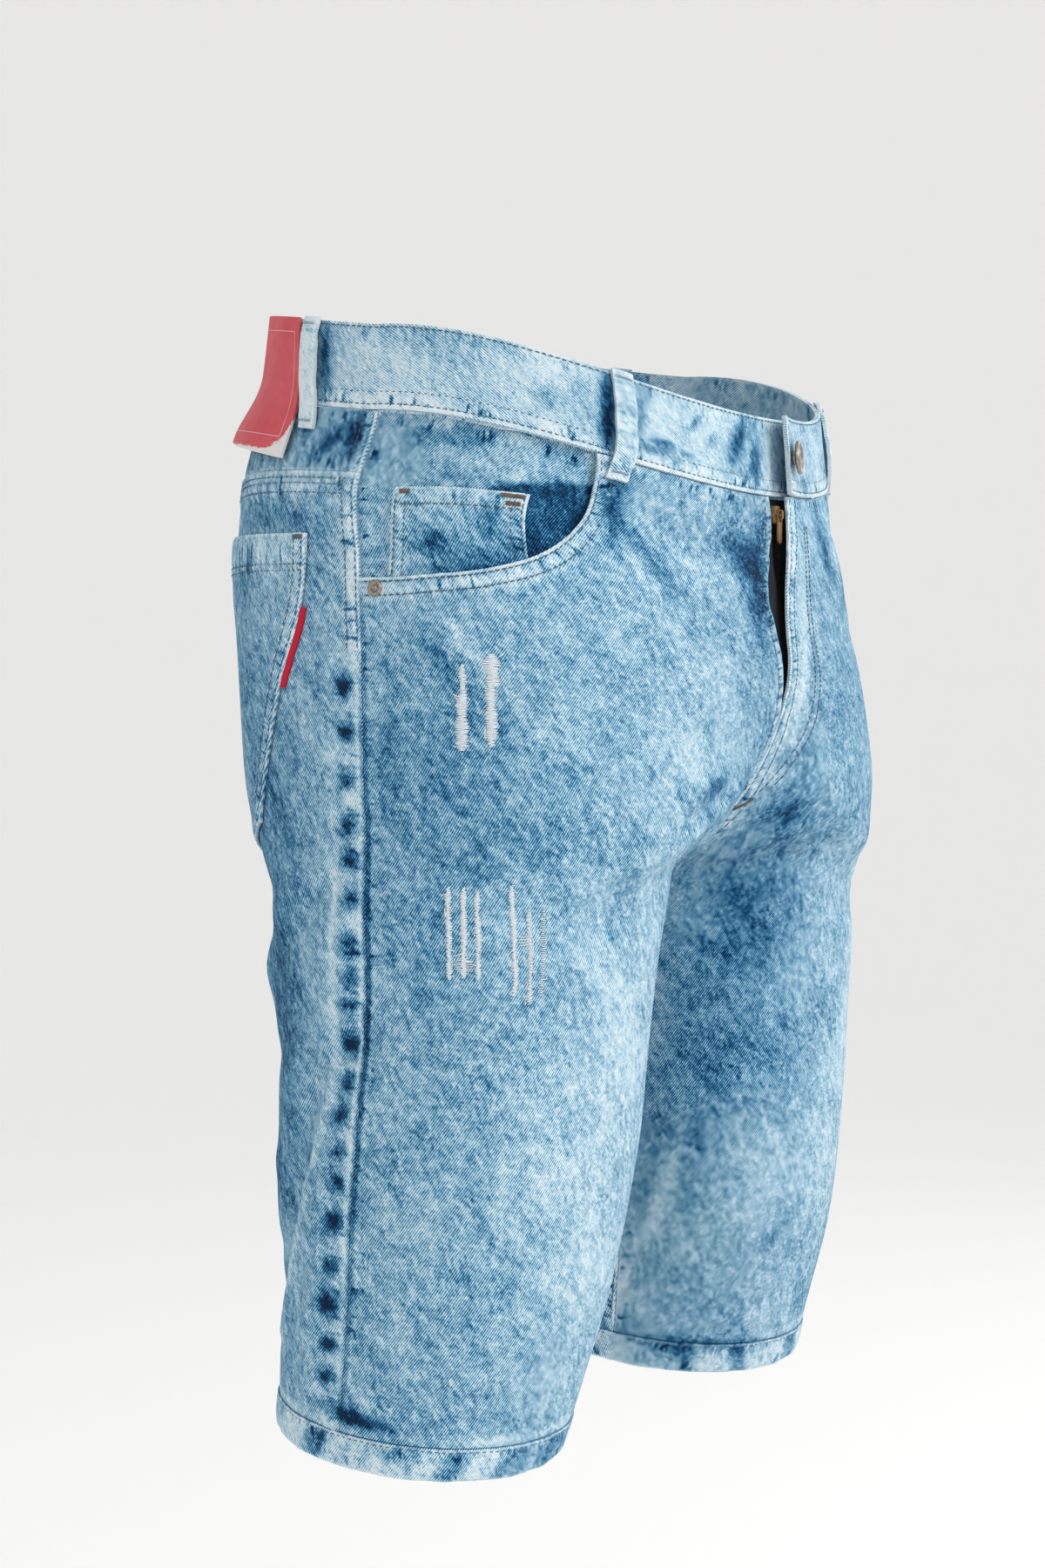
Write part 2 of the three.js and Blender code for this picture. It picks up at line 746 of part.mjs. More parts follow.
function sliderGeometry() {
  const face = new THREE.Shape();
  face.moveTo(-SLIDER.foot / 2, -SLIDER.height / 2);
  face.lineTo(SLIDER.foot / 2, -SLIDER.height / 2);
  face.lineTo(SLIDER.top / 2, SLIDER.height / 4);
  face.lineTo(SLIDER.top / 2 - 0.8, SLIDER.height / 2);
  face.lineTo(0.8 - SLIDER.top / 2, SLIDER.height / 2);
  face.lineTo(-SLIDER.top / 2, SLIDER.height / 4);
  face.closePath();
  const body = new THREE.ExtrudeGeometry(face, { depth: SLIDER.thickness, bevelEnabled: false });
  body.rotateX(Math.PI / 2);
  body.translate(0, SLIDER.thickness, 0);
  const outside = BAIL.inside + BAIL.bar;
  const arch = new THREE.Shape();
  arch.moveTo(0.2, -BAIL.reach);
  arch.lineTo(-outside + 0.8, -BAIL.reach);
  arch.lineTo(-outside, 0.8 - BAIL.reach);
  arch.lineTo(-outside, BAIL.reach - 0.8);
  arch.lineTo(-outside + 0.8, BAIL.reach);
  arch.lineTo(0.2, BAIL.reach);
  arch.lineTo(0.2, BAIL.reach - BAIL.bar);
  arch.lineTo(-BAIL.inside, BAIL.reach - BAIL.bar);
  arch.lineTo(-BAIL.inside, BAIL.bar - BAIL.reach);
  arch.lineTo(0.2, BAIL.bar - BAIL.reach);
  arch.closePath();
  const bail = new THREE.ExtrudeGeometry(arch, { depth: BAIL.width, bevelEnabled: false });
  const stand = new THREE.Matrix4();
  stand.set(0, 0, 1, -BAIL.width / 2, 1, 0, 0, 0, 0, 1, 0, 0, 0, 0, 0, 1);
  bail.applyMatrix4(stand);
  return fromSolid(solid(body).add(solid(bail)));
}

function pullGeometry() {
  const outline = new THREE.Shape();
  const neck = PULL.width / 2;
  outline.moveTo(-neck, PULL.bar);
  outline.lineTo(-neck, -PULL.length + neck);
  outline.absarc(0, -PULL.length + neck, neck, Math.PI, 2 * Math.PI, false);
  outline.lineTo(neck, PULL.bar);
  outline.closePath();
  const eye = new THREE.Path();
  eye.moveTo(-PULL.eyeWidth / 2, -PULL.bar);
  eye.lineTo(PULL.eyeWidth / 2, -PULL.bar);
  eye.lineTo(PULL.eyeWidth / 2, -PULL.eye);
  eye.lineTo(-PULL.eyeWidth / 2, -PULL.eye);
  eye.closePath();
  outline.holes.push(eye);
  const depth = PULL.thickness;
  const plate = new THREE.ExtrudeGeometry(outline, { depth, bevelEnabled: false, curveSegments: 8 });
  plate.rotateX(Math.PI / 2);
  plate.translate(0, PULL.thickness / 2, 0);
  return plate;
}

// Round metal pieces: a profile turned about the direction that points out of the cloth
const BUTTON = { radius: 8.75, rim: 3.4, shank: 3.6, height: 4.6 };
const RIVET = { radius: 4.15, height: 1.7, u: -9.3, z: -129 };

function buttonGeometry() {
  const profile = [
    [0, 0],
    [BUTTON.shank, 0],
    [BUTTON.shank, BUTTON.height - 2.6],
    [BUTTON.radius - 1, BUTTON.height - 2.4],
    [BUTTON.radius, BUTTON.height - 1.6],
    [BUTTON.radius - 0.4, BUTTON.height - 0.6],
    [BUTTON.radius - 1.6, BUTTON.height],
    [BUTTON.radius - 2.6, BUTTON.height - 0.7],
    [BUTTON.rim, BUTTON.height - 0.5],
    [0, BUTTON.height - 0.2],
  ];
  return new THREE.LatheGeometry(profile.map(([x, y]) => new THREE.Vector2(x, y)), 28);
}

function rivetGeometry() {
  const profile = [
    [0, 0],
    [RIVET.radius, 0],
    [RIVET.radius, 0.7],
    [RIVET.radius - 0.9, RIVET.height - 0.3],
    [RIVET.radius - 1.9, RIVET.height - 0.6],
    [1.6, RIVET.height - 0.5],
    [1.1, RIVET.height],
    [0, RIVET.height],
  ];
  return new THREE.LatheGeometry(profile.map(([x, y]) => new THREE.Vector2(x, y)), 20);
}

function standOn(mesh, spot) {
  mesh.position.copy(spot.point);
  mesh.quaternion.setFromUnitVectors(new THREE.Vector3(0, 1, 0), spot.normal);
}

// Assembly
for (const [side, name] of [[RIGHT, "right"], [LEFT, "left"]]) {
  add(`front_${name}`, frontPanel(side), DENIM());
  add(`back_${name}`, backPanel(side), DENIM());
  add(`yoke_${name}`, yoke(side), DENIM());
  add(`hem_${name}`, hem(side), DENIM());
  add(`pocket_facing_${name}`, facing(side), DARK_DENIM());
  add(`back_pocket_${name}`, backPocket(side), DENIM());
  add(`belt_loop_front_${name}`, beltLoop(side, () => LOOP_SIDE_FRONT_U), DENIM());
  add(`belt_loop_back_${name}`, beltLoop(side, () => LOOP_SIDE_BACK_U), DENIM());
  const rivet = add(`rivet_${name}`, rivetGeometry(), PEWTER());
  standOn(rivet, place(side, RIVET.u, RIVET.z, ON_PANEL));
}
add("coin_pocket", coinPocket(RIGHT), DENIM());
add("waistband", waistband(), DENIM());
add("belt_loop_centre", beltLoop(RIGHT, (z) => backEdge(RIGHT, z)), DENIM());
add("patch", patch(), RED());
add("pocket_edge_strip", pocketStrip(), RED());
add("fly_shield", flyStrip(SHIELD), DARK_DENIM());
add("zip_tape", flyStrip(ZIP_TAPE), TAPE());

const BUTTON_FROM_CENTRE = 4;
const buttonU = frontEdge(RIGHT, -BAND_HEIGHT / 2) + BUTTON_FROM_CENTRE;
const buttonOut = bandOut(LEFT, -BUTTON_FROM_CENTRE) + ON_PANEL;
const flareSlope = (2 * bandFlare(-BUTTON_FROM_CENTRE)) / (BAND_FLARE.start + BUTTON_FROM_CENTRE);
const buttonSpot = place(RIGHT, buttonU, -BAND_HEIGHT / 2, buttonOut);
buttonSpot.normal.applyAxisAngle(new THREE.Vector3(0, 0, 1), Math.atan(flareSlope));
const button = add("button", buttonGeometry(), PEWTER());
standOn(button, buttonSpot);

const zip = new THREE.Group();
zip.position.copy(place(RIGHT, frontEdge(RIGHT, SLIDER.z) - SLIDER.x, SLIDER.z).point);
zip.position.y -= SLIDER.back + SLIDER.thickness;
shorts.add(zip);
add("zip_slider", sliderGeometry(), ZIP_METAL(), zip);
const pull = add("zip_pull", pullGeometry(), ZIP_METAL(), zip);
pull.position.y = -PULL.axis;

export default shorts;
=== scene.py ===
import logging
import math
from collections.abc import Callable, Sequence
from dataclasses import dataclass
from enum import Enum
from functools import cached_property

import bpy
import numpy as np
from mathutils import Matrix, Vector


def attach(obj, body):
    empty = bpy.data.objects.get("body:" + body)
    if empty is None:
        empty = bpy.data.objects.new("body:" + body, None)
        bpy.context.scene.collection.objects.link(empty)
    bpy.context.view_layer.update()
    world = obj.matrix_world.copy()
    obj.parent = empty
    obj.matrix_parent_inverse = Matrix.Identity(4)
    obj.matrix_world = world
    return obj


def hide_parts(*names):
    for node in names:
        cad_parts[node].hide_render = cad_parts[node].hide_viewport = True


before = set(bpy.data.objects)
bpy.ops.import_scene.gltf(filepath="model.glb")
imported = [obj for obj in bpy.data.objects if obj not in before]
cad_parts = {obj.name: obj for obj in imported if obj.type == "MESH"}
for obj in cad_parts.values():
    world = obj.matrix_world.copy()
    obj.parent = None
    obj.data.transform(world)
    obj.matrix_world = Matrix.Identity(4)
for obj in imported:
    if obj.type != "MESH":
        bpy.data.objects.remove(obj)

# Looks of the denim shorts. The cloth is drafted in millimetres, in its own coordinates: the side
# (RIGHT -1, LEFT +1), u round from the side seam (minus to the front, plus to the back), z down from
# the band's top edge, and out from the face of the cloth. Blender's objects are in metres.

Array = np.ndarray
# Gives how far out the cloth is at u, z
Height = Callable[[Array, Array], Array]
log = logging.getLogger("shorts")

MM = 0.001
RIGHT = -1
BOTH = 0
LEFT = 1
SIDE_NAMES = {RIGHT: "right", LEFT: "left"}

BAND_HEIGHT = 42.0
BAND_OUT = 1.0
BAND_SEAM = 0.6
SPLIT_Z = -140.0
CROTCH_Z = -274.0
LEG_ALONE_Z = -330.0
HEM_Z = -558.0
HEM_HEIGHT = 18.0
HEM_OUT = 0.8
PANEL_FOOT_Z = HEM_Z + HEM_HEIGHT
LEG_CENTRE_X = -100.0
SEAM_GAP = 0.3
CLOTH = 1.2

FRONT_DIP = 41.0
BACK_RISE = 18.0
FRONT_DIP_POWER = 1.9
BACK_RISE_POWER = 1.1
WAIST_FRONT_Y = 137.0
WAIST_BACK_Y = 130.0
DIP_DEPTH = 230.0
HEM_TILT = 0.09
HEM_LEVEL_Y = 70.0
HEM_TILT_TOP = 300.0
HEM_TILT_FOOT = 550.0
CROTCH_POWER = 1.9
CROTCH_REACH = (-0.2, 0.85)
LEGS_APART = 60.0
# A place this far past a centre line counts as the other side's
PAST_CENTRE = 0.001
# A seam lifts the cloth up to this far from its line; NO_SEAM stands for no seam near
SEAM_REACH = 40.0
NO_SEAM = 60.0
USUAL_WIDTH = 9.5
# Keeps the seams of one piece apart in the blots beside them
SEAM_STEP = 400


def smooth(low: float | Array, high: float | Array, value: Array) -> Array:
    """A smooth step from 0 at low to 1 at high."""
    t = np.clip((value - low) / (high - low), 0.0, 1.0)
    return t * t * (3 - 2 * t)


def mix(a: float | Array, b: float | Array, t: float | Array) -> Array:
    """The value a share t of the way from a to b."""
    return a + (b - a) * t


@dataclass(frozen=True)
class Profile:
    """Sizes that change down the garment, on smooth curves through their rows."""

    columns: str
    rows: tuple[tuple[float, ...], ...]

    def at(self, column: str, z: float | Array) -> Array:
        """Look a column up.

        Args:
            column: the column's name.
            z: heights, in mm.

        Returns:
            The column's value at each height.
        """
        data = np.array(self.rows, float)
        heights = -data[:, 0]
        values = data[:, self.columns.split().index(column)]
        depth = np.clip(-np.asarray(z, float), heights[0], heights[-1])
        last = len(heights) - 1
        above = np.maximum(np.arange(last + 1) - 1, 0)
        below = np.minimum(np.arange(last + 1) + 1, last)
        slopes = (values[below] - values[above]) / (heights[below] - heights[above])
        i = np.clip(np.searchsorted(heights, depth) - 1, 0, last - 1)
        span = heights[i + 1] - heights[i]
        t = (depth - heights[i]) / span
        start = values[i] * (1 + 2 * t) * (1 - t) ** 2 + slopes[i] * span * t * (1 - t) ** 2
        end = values[i + 1] * t * t * (3 - 2 * t) + slopes[i + 1] * span * t * t * (t - 1)
        return start + end


TORSO = Profile(
    "z half front back front_power back_power",
    (
        (30, 168, 134, 126, 2.2, 2.1), (0, 170, 137, 130, 2.2, 2.1), (-42, 175, 140, 136, 2.25, 2.1),
        (-80, 184, 143, 147, 2.35, 2.1), (-120, 192, 145, 149, 2.5, 2.1),
        (-160, 197, 146, 142, 2.55, 2.1), (-220, 200, 144, 128, 2.55, 2.1),
        (-300, 200, 145, 112, 2.5, 2.1),
    ),
)
LEG = Profile(
    "z x y half front back power",
    (
        (-140, -100, 0, 100, 146, 140, 2.3), (-225, -100, -4, 100, 124, 118, 2.25),
        (-274, -100, -9, 100, 102, 104, 2.2), (-320, -106, -12, 95, 98, 99, 2.1),
        (-360, -110, -13, 90, 95, 95, 2.1), (-400, -113, -12.5, 87, 93, 93, 2.1),
        (-440, -116, -9.5, 83, 90, 90, 2.1), (-480, -118, -6, 79, 85, 85, 2.05),
        (-520, -119, 0.5, 75, 79, 79, 2.05), (-560, -120, 7, 72, 73, 73, 2.05),
    ),
)
LEFT_FORWARD = Profile(
    "z y", ((-140, 0), (-200, -7), (-272, -18), (-320, -17), (-400, -15), (-480, -19), (-560, -22))
)
SIDE_TURN = Profile(
    "z turn",
    (
        (0, 0.02), (-42, 0.06), (-80, -0.03), (-115, 0.04), (-160, 0.08), (-240, 0.075), (-280, 0.03),
        (-320, 0.02), (-360, -0.03), (-400, -0.07), (-440, -0.09), (-520, -0.08), (-560, -0.05),
    ),
)


def each(kind: type, side: int, *rows: tuple[float, ...]) -> list:
    """Folds, marks of dye and painted shade, or worn bars of one side, one for each row of sizes."""
    return [kind(side, *row) for row in rows]


@dataclass(frozen=True)
class Fold:
    """A soft ridge, or with a minus height a trough, along a line on the cloth."""

    side: int
    u: float
    z: float
    u_end: float
    z_end: float
    width: float
    height: float

    def rise(self, u: Array, z: Array) -> Array:
        """How far the fold lifts the cloth at each place."""
        du, dz = self.u_end - self.u, self.z_end - self.z
        t = np.clip(((u - self.u) * du + (z - self.z) * dz) / (du * du + dz * dz), 0, 1)
        away = np.hypot(u - self.u - t * du, z - self.z - t * dz)
        return self.height * np.exp(-((away / self.width) ** 2))


# The construction's large folds
FOLDS = (
    *each(
        Fold, RIGHT,
        (-150, -262, -232, -236, 16, 5), (-120, -290, -215, -262, 15, -4), (96, -292, 190, -272, 17, -5),
        (110, -325, 200, -300, 16, 4), (12, -350, 80, -500, 13, -4), (24, -300, 22, -520, 11, 3),
        (-120, -60, -190, -86, 12, -2.5),
    ),
    *each(
        Fold, LEFT,
        (-150, -268, -232, -240, 16, 5), (-110, -300, -215, -268, 15, -4), (96, -296, 190, -276, 17, -5),
        (110, -330, 200, -304, 16, 4), (14, -360, 78, -505, 13, -4), (24, -310, 22, -520, 11, 3),
        (-120, -60, -190, -86, 12, -2.5),
    ),
)

# Smaller creases, on one side each: across the lap, behind the knee, under the seat, beside the fly
CREASES = (
    *each(
        Fold, RIGHT,
        (-236, -238, -178, -268, 6, -1.6), (-240, -252, -190, -284, 6, 1.5),
        (-226, -262, -160, -300, 7, -1.4), (-232, -228, -196, -214, 7, 1.3),
        (-136, -70, -206, -104, 7, 1.1), (-132, -84, -184, -122, 6, -1.0),
        (-128, -98, -158, -140, 6, 0.9), (-176, -247, -214, -234, 6, -4.0),
        (-180, -231, -208, -222, 7, 2.6), (15, -262, 12, -340, 4, 1.3), (12, -340, 33, -425, 4, 1.6),
        (33, -425, 64, -505, 5, 1.6), (30, -360, 48, -440, 7, -1.6), (-30, -150, -96, -176, 9, 0.8),
        (-22, -262, -70, -232, 8, -1.1), (-16, -282, -88, -246, 7, 0.9), (26, -262, 92, -300, 8, 1.8),
        (18, -272, 74, -318, 7, -1.5), (14, -352, 48, -402, 6, -1.6), (40, -396, 62, -470, 7, 1.4),
        (64, -350, 128, -392, 9, -1.6), (70, -416, 140, -440, 8, 1.2), (60, -472, 132, -452, 8, -1.1),
        (18, -470, 46, -522, 7, 1.2), (-18, -520, -60, -500, 8, 0.8), (34, -150, 66, -240, 10, -1.3),
    ),
    *each(
        Fold, LEFT,
        (-262, -264, -222, -240, 4.5, -2.4), (-256, -274, -214, -252, 6, 1.4),
        (-232, -240, -176, -274, 6, -1.6), (-236, -256, -168, -292, 7, 1.6),
        (-222, -272, -150, -306, 7, -1.5), (-228, -226, -190, -216, 7, 1.2),
        (-138, -72, -204, -108, 7, 1.0), (-130, -92, -172, -134, 6, -0.9),
        (-26, -270, -84, -240, 8, -1.2), (24, -268, 86, -306, 8, 1.7), (16, -284, 70, -330, 7, -1.3),
        (18, -366, 56, -420, 6, -1.5), (58, -362, 120, -404, 9, -1.4), (66, -428, 134, -448, 8, 1.3),
        (56, -486, 128, -464, 8, -1.1), (-24, -524, -70, -508, 8, 0.8),
    ),
)
FOLD_EDGE = 22.0


@dataclass
class Spots:
    """Points on the cloth with their outward directions, in mm."""

    points: Array
    normals: Array


class Draft:
    """The cut of the garment: turns cloth coordinates into places."""

    RING_STEPS = 96
    NEWTON_ROUNDS = 14

    def reach(self, angle: Array, z: Array) -> Array:
        """Work out how far the cloth is from a leg's centre line.

        Args:
            angle: directions round the leg's centre.
            z: heights.

        Returns:
            The distances, blended from the body's section to the leg's.
        """
        c, d = np.cos(angle), np.sin(angle)
        front = d < 0
        half = TORSO.at("half", z)
        depth = np.where(front, TORSO.at("front", z), TORSO.at("back", z))
        power = np.where(front, TORSO.at("front_power", z), TORSO.at("back_power", z))
        r = np.full(np.shape(angle), 150.0)
        for _ in range(self.NEWTON_ROUNDS):
            x = LEG_CENTRE_X + r * c
            y = r * d
            across = np.abs(x / half) ** (power - 1)
            along = np.abs(y / depth) ** (power - 1)
            excess = across * np.abs(x / half) + along * np.abs(y / depth) - 1
            rate = power * (across * np.sign(x) * c / half + along * np.sign(y) * d / depth)
            r = np.clip(r - np.clip(excess / np.maximum(rate, 1e-6), -60, 60), 5, 500)
        leg_depth = np.where(front, LEG.at("front", z), LEG.at("back", z))
        leg_power = LEG.at("power", z)
        leg = np.abs(c / LEG.at("half", z)) ** leg_power + np.abs(d / leg_depth) ** leg_power
        inner = np.clip((SPLIT_Z - z) / (SPLIT_Z - CROTCH_Z), 0, 1) ** CROTCH_POWER
        outer = smooth(-SPLIT_Z, -LEG_ALONE_Z, -z)
        share = mix(outer, inner, smooth(*CROTCH_REACH, c))
        return mix(r, leg ** (-1 / leg_power), share)

    def skin(self, side: Array, angle: Array, z: Array) -> Array:
        """Places on the cloth's face, at angles round a leg's centre."""
        side, angle, z = np.broadcast_arrays(side, np.asarray(angle, float), np.asarray(z, float))
        r = self.reach(angle, z)
        x = LEG.at("x", z) + r * np.cos(angle)
        y = LEG.at("y", z) + r * np.sin(angle)
        dip = FRONT_DIP * np.maximum(-y / WAIST_FRONT_Y, 0) ** FRONT_DIP_POWER
        rise = BACK_RISE * np.maximum(y / WAIST_BACK_Y, 0) ** BACK_RISE_POWER
        hem = smooth(HEM_TILT_TOP, HEM_TILT_FOOT, -z) * HEM_TILT * (y - HEM_LEVEL_Y)
        height = z + (1 - smooth(0, DIP_DEPTH, -z)) * (rise - dip) + hem
        apart = np.maximum(smooth(0, LEGS_APART, -x), smooth(0, LEGS_APART, CROTCH_Z - z))
        forward = np.where(side == LEFT, LEFT_FORWARD.at("y", z) * apart, 0.0)
        return np.stack([-side * x, y + forward, height], -1)

    def directions(self, side: Array, angle: Array, z: Array) -> Array:
        """Outward directions of the cloth's face."""
        turn, rise = 0.01, 1.0
        around = self.skin(side, angle + turn, z) - self.skin(side, angle - turn, z)
        up = self.skin(side, angle, z + rise) - self.skin(side, angle, z - rise)
        out = np.cross(around, up) * -np.asarray(side, float)[..., None]
        return out / np.linalg.norm(out, axis=-1, keepdims=True)

    @cached_property
    def knots(self) -> Array:
        """Heights of the measured rings, close together where the legs part."""
        steps = ((36, -200, 4), (-200, -262, 2), (-262, -280, 0.5), (-280, -300, 1), (-300, -581, 4))
        return np.concatenate([np.arange(a, b, -d, dtype=float) for a, b, d in steps])

    @cached_property
    def rings(self) -> dict[tuple[int, int], tuple[Array, Array]]:
        """For each side and half (front -1, back 1), the edges' u and the angles at even shares of u."""
        z = self.knots[:, None]
        seam = -np.pi + SIDE_TURN.at("turn", z)
        found = {}
        for half in (-1, 1):
            low, high = np.zeros_like(z), np.full_like(z, 1.4)
            for _ in range(36):
                middle = (low + high) / 2
                over = self.skin(RIGHT, half * middle, z)[..., 0] > -SEAM_GAP / 2
                low, high = np.where(over, middle, low), np.where(over, high, middle)
            end = np.where(z <= CROTCH_Z, 0.0, half * high) - (2 * np.pi if half > 0 else 0)
            angles = mix(seam, end, np.linspace(0, 1, self.RING_STEPS + 1))
            for side in (RIGHT, LEFT):
                points = self.skin(side, angles, z)
                steps = np.linalg.norm(np.diff(points, axis=1), axis=-1)
                arcs = np.concatenate([np.zeros_like(z), np.cumsum(steps, 1)], 1)
                even = np.linspace(0, 1, self.RING_STEPS + 1)
                rows = [np.interp(even * a[-1], a, t) for a, t in zip(arcs, angles)]
                found[side, half] = (half * arcs[:, -1], np.array(rows))
        return found

    def edge(self, side: int | Array, half: int, z: float | Array) -> Array:
        """The u of the centre front (half -1) or the centre back (half 1)."""
        side, z = np.broadcast_arrays(side, np.asarray(z, float))
        values = [np.interp(-z, -self.knots, self.rings[s, half][0]) for s in (RIGHT, LEFT)]
        return np.where(side == RIGHT, values[0], values[1])

    def _angle(self, side: int, half: int, u: Array, z: Array) -> Array:
        """The angle round the leg's centre at u, for one side and half."""
        edges, angles = self.rings[side, half]
        row = np.clip(np.interp(-z, -self.knots, np.arange(len(self.knots))), 0, len(self.knots) - 1.001)
        i = row.astype(int)
        t = row - i
        share = np.clip(u / mix(edges[i], edges[i + 1], t), 0, 1) * self.RING_STEPS
        j = np.minimum(share.astype(int), self.RING_STEPS - 1)
        k = share - j
        upper = mix(angles[i, j], angles[i, j + 1], k)
        lower = mix(angles[i + 1, j], angles[i + 1, j + 1], k)
        return mix(upper, lower, t)

    def place(
        self, side: int | Array, u: float | Array, z: float | Array, out: float | Array = 0.0
    ) -> Spots:
        """Turn cloth coordinates into places; past a centre line they go on round the other side.

        Args:
            side: RIGHT or LEFT, for each place.
            u: mm round from the side seam.
            z: drafting height.
            out: mm outside the face.

        Returns:
            The places, folds included, with their directions.
        """
        side, u, z, out = np.broadcast_arrays(side, np.asarray(u, float), np.asarray(z, float), out)
        side, u = side.copy(), u.copy()
        for half in (-1, 1):
            own, other = self.edge(side, half, z), self.edge(-side, half, z)
            over = (half * u > half * own + PAST_CENTRE) & (z > CROTCH_Z)
            u = np.where(over, other + own - u, u)
            side = np.where(over, -side, side)
        angle = np.zeros(u.shape)
        for s in (RIGHT, LEFT):
            for half in (-1, 1):
                here = (side == s) & ((u < 0) == (half < 0))
                angle[here] = self._angle(s, half, u[here], z[here])
        normals = self.directions(side, angle, z)
        points = self.skin(side, angle, z)
        return Spots(points + normals * (out + self.folds(side, u, z))[..., None], normals)

    def folds(self, side: Array, u: Array, z: Array) -> Array:
        """How far all folds and creases lift the cloth."""
        inset = np.minimum(u - self.edge(side, -1, z), self.edge(side, 1, z) - u)
        fade = smooth(0, FOLD_EDGE, inset)
        fine = smooth(0, FOLD_EDGE / 3, inset) * smooth(0, 8, np.abs(u))
        total = np.zeros(u.shape)
        for fold in FOLDS:
            total += np.where(side == fold.side, fold.rise(u, z) * fade, 0)
        for fold in CREASES:
            total += np.where(side == fold.side, fold.rise(u, z) * fine, 0)
        return total


DRAFT = Draft()


def ripple(along: Array, pitch: float, seed: int) -> Array:
    """Uneven waves along a line.

    Args:
        along: mm along the line.
        pitch: the usual distance between two crests' neighbours.
        seed: which waves.

    Returns:
        Smooth values from -1 to 1.
    """
    heights = np.random.default_rng(seed).uniform(-1, 1, 512)
    place = np.abs(along) / pitch
    i = place.astype(int)
    t = place - i
    t = t * t * (3 - 2 * t)
    return mix(heights[i % 512], heights[(i + 1) % 512], t)


def rounded(points: Sequence[tuple[float, float]], count: int) -> Array:
    """A smooth line through a few points.

    Args:
        points: (u, z) pairs.
        count: how many points the line gets.

    Returns:
        The line's points, evenly spaced, as an array of (u, z).
    """
    p = np.array(points, float)
    ends = np.vstack([2 * p[0] - p[1], p, 2 * p[-1] - p[-2]])
    t = np.linspace(0, 1, 24, endpoint=False)[:, None]
    spans = []
    for a, b, c, d in zip(ends, ends[1:], ends[2:], ends[3:]):
        bend, twist = 2 * a - 5 * b + 4 * c - d, 3 * b - a - 3 * c + d
        spans.append(0.5 * (2 * b + (c - a) * t + bend * t**2 + twist * t**3))
    return evenly(np.vstack([*spans, p[-1:]]), count)


def straight(start: tuple[float, float], end: tuple[float, float], count: int) -> Array:
    """Evenly spaced (u, z) points from a start to an end."""
    return np.stack([np.linspace(float(a), float(b), count) for a, b in zip(start, end)], -1)


def distances(line: Array) -> Array:
    """How far along a line each of its points lies."""
    return np.concatenate([[0], np.cumsum(np.linalg.norm(np.diff(line, axis=0), axis=1))])


def evenly(line: Array, count: int) -> Array:
    """A line's points moved so that they are evenly spaced."""
    arcs = distances(line)
    even = np.linspace(0, arcs[-1], count)
    return np.stack([np.interp(even, arcs, line[:, k]) for k in range(line.shape[1])], -1)


def eased(count: int, start: bool = True, end: bool = True, ease: float = 0.7) -> Array:
    """Shares from 0 to 1 that close up at the ends asked for."""
    t = np.linspace(0, 1, count + 1)
    if start and end:
        return t - ease * np.sin(2 * np.pi * t) / (2 * np.pi)
    if start:
        return t - ease * np.sin(np.pi * t) / np.pi
    if end:
        return t + ease * np.sin(np.pi * t) / np.pi
    return t


